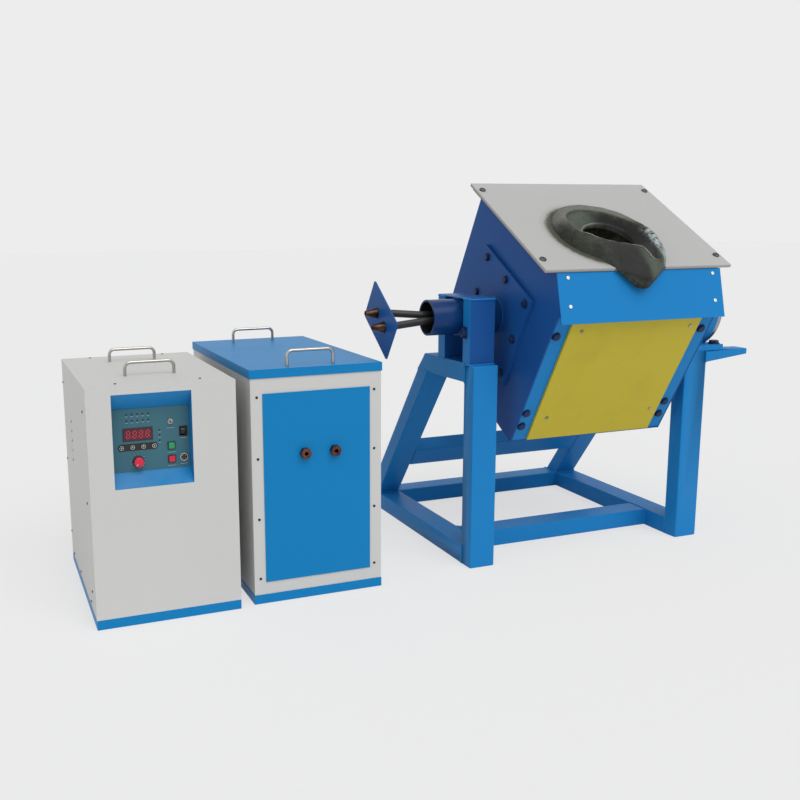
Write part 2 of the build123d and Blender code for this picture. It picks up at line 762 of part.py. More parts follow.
def cap_terminals():
    """Two hollow copper hexagon fittings, each with a shank back to the transformer."""
    front = tray_sheet - lid_overhang + slip - cap_panel_thickness
    fittings = []
    for x in terminal_x:
        fitting = hexagon("Y", x, front - terminal_out, terminal_z, terminal_flats, terminal_out)
        fitting += rod("Y", x, front, terminal_z, terminal_shank_r, transformer_front - front)
        fitting -= rod("Y", x, front - terminal_out - 1, terminal_z, terminal_bore_r, terminal_out + 20)
        fittings.append(fitting)
    return fittings


def cap_transformer():
    """Matching transformer: a laminated core with two windings, on a shelf stand."""
    cx = sum(terminal_x) / 2
    w, h = transformer_size
    x0, x1 = cx - w / 2, cx + w / 2
    z0 = transformer_low
    y0, y1 = transformer_front, transformer_front + transformer_depth
    core = block(x0, x1, y0 + 20, y1 - 20, z0, z0 + h)
    core -= block(x0 + core_bar, x1 - core_bar, y0, y1, z0 + core_bar, z0 + h - core_bar)
    windings = []
    for side in (-1, 1):
        x = cx + side * (w / 2 - core_bar / 2)
        coil = block(x - 33, x + 33, y0, y1, z0 + core_bar + 2, z0 + h - core_bar - 2)
        coil -= block(x - 18.5, x + 18.5, y0 + 19, y1 - 19, z0, z0 + h)
        windings.append(coil)
    stand = block(x0, x1, y0 + 10, y1 - 10, z0 - 6, z0)
    for x in (x0, x1 - 24):
        for y in (y0 + 10, y1 - 34):
            stand += block(x, x + 24, y, y + 24, tray_sheet, z0 - 6)
    return [core] + windings + [stand]


def cap_capacitors():
    """Bank of six water-cooled capacitors behind the transformer."""
    cans = []
    for x in along(70.0, cap_width - 70.0, 3):
        for y in (cap_depth - 240.0, cap_depth - 110.0):
            can = block(x - 44, x + 44, y - 55, y + 55, tray_sheet, 230.0)
            can += rod("Z", x - 20, y, 230.0, 9.0, 24)
            can += rod("Z", x + 20, y, 230.0, 9.0, 24)
            cans.append(can)
    return cans


# ================================================================ furnace frame
leg_slope = (leg_foot_rear - leg_top_rear) / (frame_height - tube_height)
leg_run = tube_height * (1 + leg_slope ** 2) ** 0.5     # level width of the slanted leg


def leg_rear(z):
    """Y of the leg's rear edge at a height."""
    return leg_top_rear + (frame_height - z) * leg_slope


def slanted_tube(points, x0, x1):
    """Closed tube with its section drawn in (y, z)."""
    outer = side_prism(points, x0, x1)
    face = Face(Wire.make_polygon([(x0 + tube_wall, y, z) for y, z in points], close=True))
    core = offset(face, amount=-tube_wall, kind=Kind.INTERSECTION)
    return outer - extrude(core, amount=x1 - x0 - 2 * tube_wall, dir=(1, 0, 0))


def trestle(x0):
    """Post, top bar, slanted leg and side rail of one side."""
    x1 = x0 + tube_width
    low = frame_height - tube_height
    post = box_tube(x0, x1, 0, tube_height, 0, frame_height)
    bar = slanted_tube([(tube_height, low), (leg_rear(low), low), (leg_top_rear, frame_height),
                        (tube_height, frame_height)], x0, x1)
    leg = slanted_tube([(leg_rear(tube_height) - leg_run, tube_height), (leg_rear(tube_height), tube_height),
                        (leg_rear(low), low), (leg_rear(low) - leg_run, low)], x0, x1)
    rail = box_tube(x0, x1, tube_height, frame_length, 0, tube_height)
    return [post, bar, leg, rail]


def left_trestle():
    return trestle(0)


def right_trestle():
    """Right side, with two tapered brackets that carry the gearbox outboard."""
    x = frame_width
    pieces = trestle(frame_width - tube_width)
    for y in (0, bracket_rear_y):
        taper = [(x, frame_height), (x + bracket_reach, frame_height),
                 (x + bracket_reach, frame_height - bracket_tip), (x, frame_height - bracket_root)]
        pieces.append(front_prism(taper, y, y + bracket_depth))
    return pieces


def cross_tubes():
    """Front rail, rear rail and the brace between the slanted legs."""
    x0, x1 = tube_width, frame_width - tube_width
    front = box_tube(x0, x1, front_rail_y, front_rail_y + tube_width, 0, tube_height)
    rear = box_tube(x0, x1, frame_length - tube_width, frame_length, 0, tube_height)
    z = frame_height - brace_drop
    y = leg_rear(z) - leg_run
    length = (1 + leg_slope ** 2) ** 0.5
    down = (leg_slope / length, -1 / length)
    up = (1 / length, leg_slope / length)
    section = [(y, z), (y + down[0] * tube_width, z + down[1] * tube_width),
               (y + down[0] * tube_width + up[0] * tube_height, z + down[1] * tube_width + up[1] * tube_height),
               (y + up[0] * tube_height, z + up[1] * tube_height)]
    return [front, rear, slanted_tube(section, x0, x1)]


pedestal_gap = 2 * (trunnion_r + running + bearing_wall + 0.1)
keeper_centre = (axis_y + keeper_offset[0], axis_z + keeper_offset[1])


def left_pedestal():
    """Two uprights on the left trestle, closed by a cap plate, and the keeper plate on the front one."""
    z0 = frame_height
    z1 = z0 + pedestal_height
    inner_front = axis_y - pedestal_gap / 2
    inner_rear = axis_y + pedestal_gap / 2
    front = box_tube(0, tube_width, inner_front - upright_depth, inner_front, z0, z1)
    rear = box_tube(0, tube_width, inner_rear, inner_rear + upright_depth, z0, z1)
    cap = block(0, tube_width, inner_front - upright_depth, inner_rear + upright_depth, z1, z1 + pedestal_cap)
    y, z = keeper_centre
    keeper = block(-keeper_thickness, 0, y - keeper_size[0] / 2, y + keeper_size[0] / 2,
                   z - keeper_size[1] / 2, z + keeper_size[1] / 2)
    hole = rod("X", -keeper_thickness - 1, y, z, keeper_bolt_r + slip, keeper_thickness + tube_wall + 2)
    return [front - hole, rear, cap, keeper - hole]


def left_bearing():
    """Plain bearing ring welded between the uprights."""
    length = tube_width - 2 * bearing_inset
    ring = rod("X", bearing_inset, axis_y, axis_z, trunnion_r + running + bearing_wall, length)
    return ring - rod("X", bearing_inset - 1, axis_y, axis_z, trunnion_r + running, length + 2)


# ================================================================ tilting drive
worm_axis_z = axis_z + worm_wheel_r + worm_gap + worm_r
gear_centre_x = gearbox_left + worm_in
foot_bolts = [(x, y) for x in (gear_foot_left + foot_bolt_inset[0], gear_foot_right - foot_bolt_inset[0])
              for y in (gear_foot_front + foot_bolt_inset[1], gear_foot_rear - foot_bolt_inset[1])]


def gearbox_housing():
    """Foot plate, and the cast case on it, hollow round the worm wheel and the worm."""
    length = gearbox_right - gearbox_left
    seat = frame_height + gear_foot
    foot = block(gear_foot_left, gear_foot_right, gear_foot_front, gear_foot_rear, frame_height, seat)
    for x, y in foot_bolts:
        foot -= rod("Z", x, y, frame_height - 1, foot_bolt_r + 0.5, gear_foot + 2)
    case = rod("X", gearbox_left, axis_y, axis_z, gearbox_r, length)
    web_top = axis_z - gearbox_r * 0.7
    case += block(gearbox_left + 20, gearbox_right - 20, axis_y - gear_web, axis_y + gear_web, seat, web_top)
    worm_length_case = worm_case_rear - worm_case_front
    case += rod("Y", gear_centre_x, worm_case_front, worm_axis_z, worm_case_r, worm_length_case)
    case -= rod("X", gearbox_left + gearbox_wall, axis_y, axis_z, gear_cavity_r, length - 2 * gearbox_wall)
    boss = gearbox_wall * 1.6
    case -= rod("Y", gear_centre_x, worm_case_front + boss, worm_axis_z, worm_r + 3, worm_length_case - 2 * boss)
    case -= rod("Y", gear_centre_x, worm_case_front - 1, worm_axis_z, worm_shaft_r + running, worm_length_case + 2)
    case -= rod("X", gearbox_left - 1, axis_y, axis_z, shaft_r + running, length + 2)
    case -= block(gearbox_left - 1, gearbox_right + 1, axis_y - gearbox_r, axis_y + gearbox_r, seat - gearbox_r, seat)
    return [foot, case]


def frame_bolts():
    """Four foot bolts of the gearbox, each with its washer, and the pedestal's keeper bolt."""
    bolts = []
    top = frame_height + gear_foot
    for x, y in foot_bolts:
        bolt = rod("Z", x, y, top, foot_bolt_r * 2.1, 3)
        bolt += hexagon("Z", x, y, top + 3, foot_bolt_r * 3, foot_bolt_r)
        bolt += rod("Z", x, y, frame_height + 0.2, foot_bolt_r, gear_foot)
        bolts.append(bolt)
    y, z = keeper_centre
    keeper_bolt = hexagon("X", -keeper_thickness - keeper_bolt_r, y, z, keeper_bolt_r * 3, keeper_bolt_r)
    keeper_bolt += rod("X", -keeper_thickness, y, z, keeper_bolt_r, keeper_thickness + tube_wall + 6)
    return bolts + [keeper_bolt]


def worm_wheel():
    width = worm_wheel_width
    x0 = gear_centre_x - width / 2
    wheel = rod("X", x0, 0, 0, worm_wheel_r, width) + rod("X", x0 - 12, 0, 0, shaft_r + 14, width + 24)
    tooth = 360 / worm_wheel_teeth
    gash_width = 3.1416 * worm_wheel_r / worm_wheel_teeth
    gash = Pos(gear_centre_x, 0, worm_wheel_r) * Rot(0, 0, 6) * Box(width + 6, gash_width, 9.0)
    gashes = [Rot(tooth * i, 0, 0) * gash for i in range(worm_wheel_teeth)]
    wheel -= gashes
    wheel -= rod("X", x0 - 14, 0, 0, shaft_r, width + 28)
    return wheel


def worm_shaft():
    """Input shaft with its worm, as turned collars of the thread's pitch."""
    centre = (worm_case_front + worm_case_rear) / 2
    y0 = worm_case_front + 4
    shaft = rod("Y", 0, y0, 0, worm_shaft_r, handwheel_y + 14 - y0)
    shaft += rod("Y", 0, centre - worm_length / 2, 0, worm_r - 5, worm_length)
    threads = round(worm_length / worm_thread_pitch)
    for y in along(centre - worm_length / 2 + 6, centre + worm_length / 2 - 6, threads):
        shaft += rod("Y", 0, y - 2.5, 0, worm_r, 5)
    return Pos(gear_centre_x, 0, worm_axis_z) * shaft


def handwheel():
    """Spoked wheel with a hub on the worm shaft and a pin for the grip."""
    hub_r = worm_shaft_r + 7.0
    spoke_r = 6.0
    wheel = rod("Y", 0, -14, 0, hub_r, 28) - rod("Y", 0, -20, 0, worm_shaft_r, 40)
    for i in range(handwheel_spokes):
        spoke = rod("X", hub_r - 3, 0, 0, spoke_r, handwheel_r - hub_r + 1)
        wheel += Rot(0, 360 / handwheel_spokes * i + 30, 0) * spoke
    rim_section = Plane.XY * Pos(handwheel_r, 0) * RegularPolygon(handwheel_rim_r, 12, rotation=15)
    wheel += revolve(rim_section, axis=Axis.Y)
    reach = handwheel_rim_r + grip_length
    wheel += rod("Y", 0, 0, grip_orbit, grip_pin_r, reach + 2)
    wheel += rod("Y", 0, reach + 1.2, grip_orbit, grip_pin_r + 3, 4)
    return Pos(gear_centre_x, handwheel_y, worm_axis_z) * wheel


def handwheel_grip():
    y0 = handwheel_y + handwheel_rim_r + 0.6
    grip = rod("Y", 0, y0, 0, grip_r, grip_length)
    grip = fillet(grip.edges(), radius=4)
    grip -= rod("Y", 0, y0 - 1, 0, grip_pin_r + running, grip_length + 2)
    return Pos(gear_centre_x, 0, worm_axis_z + grip_orbit) * grip


# ================================================================ tilting body
centre_x = (body_left + body_right) / 2
side_outline = [(body_front, body_bottom), (body_back, body_bottom), (body_back, body_top),
                (body_front + chamfer_run, body_top), (body_front, body_top - chamfer_drop)]
flange_bolts = [(u * flange_bolt_reach, w * flange_bolt_reach)
                for u in (-1, 0, 1) for w in (-1, 0, 1) if (u, w) != (0, 0)]
board_screws = [(x, w) for x in (board_left + board_screw_in[0], board_right - board_screw_in[1])
                for w in board_screw_w]
top_screws = [(centre_x + s * 273.0, u) for s in (-1, 1) for u in (top_plate_front + 48, top_plate_back - 40)]
apron_screws = [(x, k) for x in apron_screw_x for k in apron_screw_k]


def body_side_plates():
    """Left and right walls, each folded outwards under the top plate."""
    plates = []
    for x0, out in ((body_left, -1), (body_right - side_plate, 1)):
        wall = side_prism(side_outline, x0, x0 + side_plate)
        edge = x0 if out < 0 else x0 + side_plate
        tip = edge + out * top_flange
        wall += block(min(edge, tip), max(edge, tip), body_front + chamfer_run + 8, body_back,
                      body_top - side_plate, body_top)
        wall -= rod("X", x0 - 1, 0, 0, trunnion_r - trunnion_wall, side_plate + 2)
        for u, w in flange_bolts:
            wall -= rod("X", x0 - 1, u, w, bolt_r + 0.4, side_plate + 2)
        for x, u in top_screws:
            wall -= rod("Z", x, u, body_top - side_plate - 1, cover_screw_r + 0.3, side_plate + 2)
        plates.append(wall)
    return plates


def body_corner_angles():
    """Four upright angles inside the side plates, that the boards are screwed to."""
    angles = []
    t = angle_thickness
    for inner_x, out in ((body_left + side_plate, 1), (body_right - side_plate, -1)):
        for u, back in ((body_front, 1), (body_back, -1)):
            top = body_top - chamfer_drop - 20 if back > 0 else body_top - 1
            bottom = body_bottom + bottom_plate
            x_span = sorted((inner_x, inner_x + out * angle_width))
            leg_span = sorted((inner_x, inner_x + out * t))
            u_span = sorted((u, u + back * t))
            deep = sorted((u, u + back * 40.0))
            angle = block(*x_span, *u_span, bottom, top) + block(*leg_span, *deep, bottom, top)
            for x, w in board_screws:
                angle -= rod("Y", x, u - 10, w, small_screw_r + 0.3, 20)
            for x in corner_bolt_x:
                for w in corner_bolt_w:
                    angle -= rod("Y", x, u - 10, w, bolt_r + 0.4, 20)
            angles.append(angle)
    return angles


def body_bottom_plate():
    t = side_plate
    return block(body_left + t, body_right - t, body_front, body_back, body_bottom, body_bottom + bottom_plate)


def body_top_plate():
    plate = block(top_plate_left, top_plate_right, top_plate_front, top_plate_back,
                  body_top, body_top + top_plate_thickness)
    plate -= rod("Z", rim_x, rim_u, body_top - 1, top_plate_hole_r, top_plate_thickness + 2)
    for x, u in top_screws:
        plate -= rod("Z", x, u, body_top - 1, cover_screw_r + 0.3, top_plate_thickness + 2)
    return plate


def apron_point(k, off=0.0):
    """Point (u, w) at a share k of the slanted edge, raised off it."""
    length = (chamfer_run ** 2 + chamfer_drop ** 2) ** 0.5
    along_u, along_w = -chamfer_run / length, -chamfer_drop / length
    u = body_front + chamfer_run + along_u * k * length
    w = body_top + along_w * k * length
    return u - (-along_w) * off, w + (-along_u) * off


def body_apron():
    """Sheet over the slanted front edge, with a lip that runs on past the front."""
    length = (chamfer_run ** 2 + chamfer_drop ** 2) ** 0.5
    end = 1 + apron_lip / length
    start = 0.05
    corners = [apron_point(start), apron_point(end), apron_point(end, apron_sheet), apron_point(start, apron_sheet)]
    apron = side_prism(corners, body_left - apron_over[0], body_right + apron_over[1])
    width, depth = apron_strip
    strip = [apron_point(start), apron_point(1), apron_point(1, -depth), apron_point(0.25, -depth)]
    apron += side_prism(strip, body_left + side_plate, body_left + side_plate + width)
    apron += side_prism(strip, body_right - side_plate - width, body_right - side_plate)
    for x, k in apron_screws:
        apron -= place_on_apron(k, 0) * Pos(x, 0, -20) * Cylinder(small_screw_r + 0.3, 60)
    return apron


def place_on_apron(k, off):
    """Location on the apron's face, +Z out of it."""
    u, w = apron_point(k, off)
    lean = Vector(0, -chamfer_drop, chamfer_run).normalized()
    return Location(Plane(origin=(0, u, w), x_dir=(1, 0, 0), z_dir=lean))


def insulating_boards():
    """Yellow boards over the front and the rear."""
    boards = []
    for u0, u1 in ((body_front - board_thickness, body_front), (body_back, body_back + board_thickness)):
        top = board_top if u0 < 0 else body_top - 3
        board = block(board_left, board_right, u0, u1, board_low, top)
        for x, w in board_screws:
            board -= rod("Y", x, u0 - 1, w, small_screw_r + 0.3, board_thickness + 2)
        boards.append(board)
    return boards


def flange_plate(x0):
    """Square flange, drilled for its bolts."""
    half = flange_size / 2
    plate = block(x0, x0 + flange_thickness, -half, half, -half, half)
    for u, w in flange_bolts:
        plate -= rod("X", x0 - 1, u, w, bolt_r + 0.4, flange_thickness + 2)
    return plate


def trunnion_tube():
    """Hollow left trunnion welded to its flange; the leads pass through it."""
    x0 = body_left - flange_thickness
    bore_r = trunnion_r - trunnion_wall
    flange = flange_plate(x0) - rod("X", x0 - 1, 0, 0, bore_r, flange_thickness + 2)
    tube = rod("X", trunnion_left, 0, 0, trunnion_r, x0 - trunnion_left)
    return [flange, tube - rod("X", trunnion_left - 1, 0, 0, bore_r, x0 - trunnion_left + 2)]


def trunnion_shaft():
    """Solid right trunnion on its flange, with a collar, through the worm wheel."""
    x0 = body_right + flange_thickness
    shaft = rod("X", x0, 0, 0, shaft_r + 10, gearbox_left - x0 - 6)
    return [flange_plate(body_right), shaft + rod("X", x0, 0, 0, shaft_r, gearbox_right - 3 - x0)]


def body_fasteners():
    """Flange and corner bolts, top screws, apron screws and board screws."""
    pieces = []
    for u, w in flange_bolts:
        grip = flange_thickness + side_plate
        pieces.append(Pos(0, u, w) * hex_bolt("X", body_left - flange_thickness, 0, 0, -1, grip))
        pieces.append(Pos(0, u, w) * hex_bolt("X", body_right + flange_thickness, 0, 0, 1, grip))
    for x in corner_bolt_x:
        for w in corner_bolt_w:
            pieces.append(hex_bolt("Y", x, body_front, w, -1, angle_thickness + 4))
            pieces.append(hex_bolt("Y", x, body_back, w, 1, angle_thickness + 4))
    plate_z = body_top + top_plate_thickness
    for x, u in top_screws:
        head = rod("Z", x, u, plate_z, cover_head_r, 4.5)
        head = fillet(head.edges().group_by(Axis.Z)[-1], radius=2.5)
        pieces.append(head + rod("Z", x, u, body_top - side_plate, cover_screw_r, plate_z - body_top + side_plate))
    for x, k in apron_screws:
        head = Cylinder(small_head_r, 3, align=(Align.CENTER, Align.CENTER, Align.MIN))
        head += Pos(0, 0, -14) * Cylinder(small_screw_r, 14, align=(Align.CENTER, Align.CENTER, Align.MIN))
        pieces.append(place_on_apron(k, apron_sheet) * Pos(x, 0, 0) * head)
    for x, w in board_screws:
        front = body_front - board_thickness
        pieces.append(rod("Y", x, front - 3, w, small_head_r, 3) + rod("Y", x, front, w, small_screw_r, 10))
        rear = body_back + board_thickness
        pieces.append(rod("Y", x, rear, w, small_head_r, 3) + rod("Y", x, rear - 10, w, small_screw_r, 10))
    return pieces


# ================================================================ crucible, lining, coil
brick_top = body_bottom + bottom_plate + brick_height
crucible_top = brick_top + crucible_height


def crucible_radius(w):
    """Outside radius of the tapered crucible at a height."""
    return crucible_foot_r + (crucible_r - crucible_foot_r) * (w - brick_top) / crucible_height


def crucible():
    t = crucible_wall
    profile = [(0, brick_top), (crucible_foot_r, brick_top), (crucible_r, crucible_top), (crucible_r - t, crucible_top),
               (crucible_foot_r - t, brick_top + crucible_floor), (0, brick_top + crucible_floor)]
    return Pos(pot_x, pot_u, 0) * revolve_profile(profile)


def refractory_lining():
    """Base brick and the rammed sleeve round the crucible."""
    gap = lining_clearance
    floor = body_bottom + bottom_plate
    brick = rod("Z", pot_x, pot_u, floor, brick_r, brick_height)
    sleeve = revolve_profile([(crucible_foot_r + gap, brick_top), (lining_r, brick_top), (lining_r, lining_top),
                              (rim_throat_r + 2, lining_top), (rim_throat_r + 2, crucible_top + 3),
                              (crucible_r + gap, crucible_top + 3), (crucible_r + gap, crucible_top)])
    return [brick, Pos(pot_x, pot_u, 0) * sleeve]


def plan_face(points, w):
    """Level face with its outline drawn in (x, u)."""
    return Face(Wire.make_polygon([(x, u, w) for x, u in points], close=True))


def crest_height(u):
    """Height of the crest over the top plate: it rises from the back to the spout."""
    share = (rim_u + rim_crest_r - u) / (2 * rim_crest_r)
    return rim_back_height + (rim_height - rim_back_height) * share


def leaning_circle(x, u, radius, share):
    """Disc over the mouth, at a share of the crest's height and of its lean."""
    deck = body_top + top_plate_thickness
    lean = (crest_height(u - 1) - crest_height(u)) * share
    return Plane(origin=(x, u, deck + crest_height(u) * share), x_dir=(1, 0, 0), z_dir=(0, lean, 1)) * Circle(radius)


def spout_body(deck):
    """Sloping walls on the plate, and the tongue that hangs over its front edge."""
    upper = loft([plan_face(spout_foot_plan, deck), plan_face(spout_crest_plan, deck + rim_height)], ruled=True)
    lower = loft([plan_face(spout_end_plan, deck - spout_drop), plan_face(spout_lip_plan, deck)], ruled=True)
    edge = top_plate_front - 1.0
    far = top_plate_front - 2 * spout_reach
    above = side_prism([(-60, deck + rim_height), (edge, deck + spout_crest), (far, deck + spout_crest),
                        (far, deck + 2 * rim_height), (-60, deck + 2 * rim_height)], 0, 2 * rim_x)
    return upper + lower - above


def pouring_rim():
    """Raised refractory mouth with a spout that runs out over the front edge."""
    deck = body_top + top_plate_thickness
    plug_r = top_plate_hole_r - 1
    ring = rod("Z", rim_x, rim_u, lining_top, plug_r, deck - lining_top)
    ring += loft([Pos(rim_x, rim_u, deck) * Circle(rim_foot_r), leaning_circle(rim_x, rim_u, rim_shoulder_r, 0.4),
                  leaning_circle(rim_x, rim_u, rim_crest_r, 1)], ruled=True)
    mouth = rod("Z", pot_x, pot_u, lining_top - 1, rim_throat_r, deck - lining_top + 1)
    edge = leaning_circle(mouth_x, mouth_u, mouth_r, 1)
    mouth += loft([Pos(pot_x, pot_u, deck) * Circle(rim_throat_r), edge], ruled=True)
    mouth += loft([edge, leaning_circle(mouth_x, mouth_u, mouth_r, 2)], ruled=True)
    channel = extrude(plan_face(channel_plan, deck + channel_floor), amount=2 * rim_height, dir=(0, 0, 1))
    return ring + spout_body(deck) - mouth - channel


coil_r = lining_r + lining_clearance + coil_tube_r
coil_top = coil_bottom + coil_pitch * coil_turns


def induction_coil():
    """Copper helix round the lining, and its two leads out through the hollow trunnion."""
    path = Helix(coil_pitch, coil_pitch * coil_turns, coil_r)
    section = Plane(origin=path @ 0, z_dir=path % 0) * Circle(coil_tube_r)
    helix = Pos(pot_x, pot_u, coil_bottom) * Rot(0, 0, 180) * sweep(section, path=path, is_frenet=True)
    return [helix] + [lead_tube(route, lead_r) for route in lead_routes()]


def lead_routes():
    """Points of the upper and the lower lead, from the coil to the terminal plate."""
    near_coil = pot_x - coil_r - coil_tube_r - 0.2
    turn = radians(terminal_plate_turn)
    routes = []
    for side, w in ((1, coil_top), (-1, coil_bottom)):
        tube_u, tube_w = side * lead_spread_tube * cos(turn), side * lead_spread_tube * sin(turn)
        plate_u, plate_w = side * lead_spread_plate * cos(turn), side * lead_spread_plate * sin(turn)
        routes.append([(near_coil, pot_u, w), (lead_drop_x, pot_u, w), (lead_drop_x, tube_u, tube_w),
                       (lead_split_x, tube_u, tube_w), (lead_square_x, plate_u, plate_w),
                       (terminal_plate_x + terminal_plate_thickness, plate_u, plate_w)])
    return routes


def lead_tube(points, radius):
    path = FilletPolyline(*points, radius=lead_bend)
    section = Plane(origin=path @ 0, z_dir=path % 0) * Circle(radius)
    return sweep(section, path=path)


def lead_sleeves():
    """Black sleeves over the leads, from inside the body to the terminal plate."""
    sleeves = []
    for route in lead_routes():
        start = (body_left + 20, route[3][1], route[3][2])
        points = [start] + route[3:]
        sleeves.append(lead_tube(points, sleeve_r) - lead_tube(points, lead_r))
    return sleeves


def terminal_plate():
    """Insulating plate askew on the end of the leads."""
    length, height = terminal_plate_size
    outline = RectangleRounded(length, height, 5)
    plate = extrude(outline, amount=terminal_plate_thickness)
    for side in (-1, 1):
        plate -= Pos(side * lead_spread_plate, 0, -1) * Cylinder(lead_r, 30)
    stand = Plane(origin=(terminal_plate_x, 0, 0), x_dir=(0, 1, 0), z_dir=(1, 0, 0))
    return Location(stand) * Rot(0, 0, terminal_plate_turn) * plate


def terminal_studs():
    """Tapered copper unions with their washers, on the free face of the plate."""
    turn = radians(terminal_plate_turn)
    studs = []
    for side in (-1, 1):
        u = side * lead_spread_plate * cos(turn)
        w = side * lead_spread_plate * sin(turn)
        x = terminal_plate_x
        stud = rod("X", x - stud_washer, u, w, stud_washer_r, stud_washer)
        stud += cone("X", x - stud_length, u, w, stud_tip_r, stud_base_r, stud_length - stud_washer)
        stud += rod("X", x, u, w, lead_r, terminal_plate_thickness - 0.2)
        stud -= rod("X", x - stud_length - 1, u, w, 4.5, 26)
        studs.append(stud)
    return studs


# ================================================================ assembly
def add(name, shapes, place):
    """Keep a node's solids, moved to their place."""
    items = shapes if isinstance(shapes, list) else [shapes]
    nodes[name] = [solid for item in items for solid in (place * item).solids()]


def build():
    psu = Pos(0, 0, 0)
    cap = Pos(psu_width + cap_gap, cap_setback, 0)
    frame = Pos(psu_width + cap_gap + cap_width + furnace_gap, furnace_setback, 0)
    tilt = frame * Pos(0, axis_y, axis_z) * Rot(rest_tilt, 0, 0)
    shaft = frame * Pos(0, axis_y, axis_z)

    for piece in (psu_base_tray, psu_front_panel, psu_rear_panel, psu_cover, psu_panel_recess, psu_control_plate,
                  psu_display, psu_panel_fittings, psu_control_board, psu_power_knob, psu_mode_toggle,
                  psu_rocker_switch, psu_handles, psu_screws, psu_inverter, psu_fan_frame, psu_fan_rotor):
        add(piece.__name__, piece(), psu)
    for i in range(4):
        add(f"psu_key_{i + 1}", psu_key(i), psu)
    add("psu_start_button", psu_square_button(start_centre), psu)
    add("psu_stop_button", psu_square_button(stop_centre), psu)

    for piece in (cap_base_tray, cap_shell, cap_front_panel, cap_lid, cap_handles, cap_screws, cap_terminals,
                  cap_transformer, cap_capacitors):
        add(piece.__name__, piece(), cap)

    for piece in (left_trestle, right_trestle, cross_tubes, left_pedestal, left_bearing, gearbox_housing, frame_bolts,
                  worm_shaft, handwheel, handwheel_grip):
        add(piece.__name__, piece(), frame)
    add("worm_wheel", worm_wheel(), shaft)

    for piece in (body_side_plates, body_corner_angles, body_bottom_plate, body_top_plate, body_apron,
                  insulating_boards, trunnion_tube, trunnion_shaft, body_fasteners, crucible, refractory_lining,
                  pouring_rim, induction_coil, lead_sleeves, terminal_plate, terminal_studs):
        add(piece.__name__, piece(), tilt)


def joint_points():
    """A point on the axis of each turning piece, for the table of joints."""
    cap_right = psu_width + cap_gap + cap_width
    left = cap_right + furnace_gap
    worm = (left + gear_centre_x, furnace_setback + handwheel_y, worm_axis_z)
    grip = (worm[0], worm[1], worm[2] + grip_orbit)
    return {
        "body_tilt": (left, furnace_setback + axis_y, axis_z),
        "handwheel_turn": worm,
        "grip_spin": grip,
        "fan_spin": (fan_centre[0], psu_depth, fan_centre[1]),
        "power_knob_turn": (knob_centre[0], plate_front, knob_centre[1]),
        "mode_toggle_tilt": (toggle_centre[0], toggle_pivot_y, toggle_centre[1]),
        "rocker_switch_tilt": (rocker_centre[0], rocker_pivot_y, rocker_centre[1]),
    }


def centre_and_export():
    """Put the origin under the middle of the whole set, and write one file per node."""
    boxes = [solid.bounding_box() for solids in nodes.values() for solid in solids]
    low = [min(getattr(box.min, a) for box in boxes) for a in "XYZ"]
    high = [max(getattr(box.max, a) for box in boxes) for a in "XYZ"]
    origin = ((low[0] + high[0]) / 2, (low[1] + high[1]) / 2, low[2])
    shift = Pos(-origin[0], -origin[1], -origin[2])
    os.makedirs("parts", exist_ok=True)
    for name, solids in nodes.items():
        export_step(Compound(children=[shift * solid for solid in solids]), f"parts/{name}.step")
    print("size", [round(h - l, 2) for l, h in zip(low, high)])
    for name, point in joint_points().items():
        print(name, [round(v - o, 3) for v, o in zip(point, origin)])


build()
centre_and_export()
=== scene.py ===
"""Looks of an induction melting set: power cabinet, capacitor cabinet and tilting furnace.

The packed model is the frame. Sheet-metal and welded pieces get rounded edges, the fasteners and
weld beads are spread by Geometry Nodes, and the refractory mouth is shaped from a height formula.
"""
import json
import math

import bmesh
import bpy
import numpy as np
from bpy.props import FloatProperty, FloatVectorProperty, IntProperty, PointerProperty
from mathutils import Matrix, Vector, noise


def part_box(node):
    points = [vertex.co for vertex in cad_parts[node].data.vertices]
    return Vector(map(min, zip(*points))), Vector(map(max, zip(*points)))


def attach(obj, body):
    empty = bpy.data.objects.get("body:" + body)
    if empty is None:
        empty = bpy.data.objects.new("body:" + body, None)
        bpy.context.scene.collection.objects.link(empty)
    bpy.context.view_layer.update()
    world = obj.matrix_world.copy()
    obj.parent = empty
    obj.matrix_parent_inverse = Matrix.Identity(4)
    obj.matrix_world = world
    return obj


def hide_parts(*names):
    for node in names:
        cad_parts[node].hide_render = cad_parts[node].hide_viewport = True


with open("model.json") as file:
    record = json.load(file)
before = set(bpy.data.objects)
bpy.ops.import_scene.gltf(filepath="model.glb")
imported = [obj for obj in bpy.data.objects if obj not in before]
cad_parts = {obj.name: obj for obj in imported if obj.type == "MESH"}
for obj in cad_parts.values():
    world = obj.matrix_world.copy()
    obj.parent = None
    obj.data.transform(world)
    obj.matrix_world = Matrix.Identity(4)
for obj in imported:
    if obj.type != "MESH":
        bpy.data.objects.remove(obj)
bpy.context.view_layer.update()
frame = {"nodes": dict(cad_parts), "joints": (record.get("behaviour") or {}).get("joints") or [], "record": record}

bl_info = {
    "name": "Induction melting set",
    "version": (1, 0, 0),
    "blender": (4, 5, 0),
    "location": "3D View > Sidebar > Furnace",
    "description": "Builds the finish and the fine pieces of a tilting induction furnace with its cabinets",
    "category": "Add Mesh",
}

MM = 0.001


# ---------------------------------------------------------------- places in the frame
def low(node):
    """Lower corner of a CAD node's box, in metres."""
    return Vector(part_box(node)[0])


def high(node):
    """Upper corner of a CAD node's box, in metres."""
    return Vector(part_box(node)[1])


def placed(corner, turn=Matrix()):
    """Matrix from a unit's own millimetres to the shared frame."""
    return Matrix.Translation(corner) @ turn @ Matrix.Scale(MM, 4)


def joint_point(name):
    """A joint's place, in metres."""
    return Vector(next(j["pos_m"] for j in frame["joints"] if j["name"] == name))


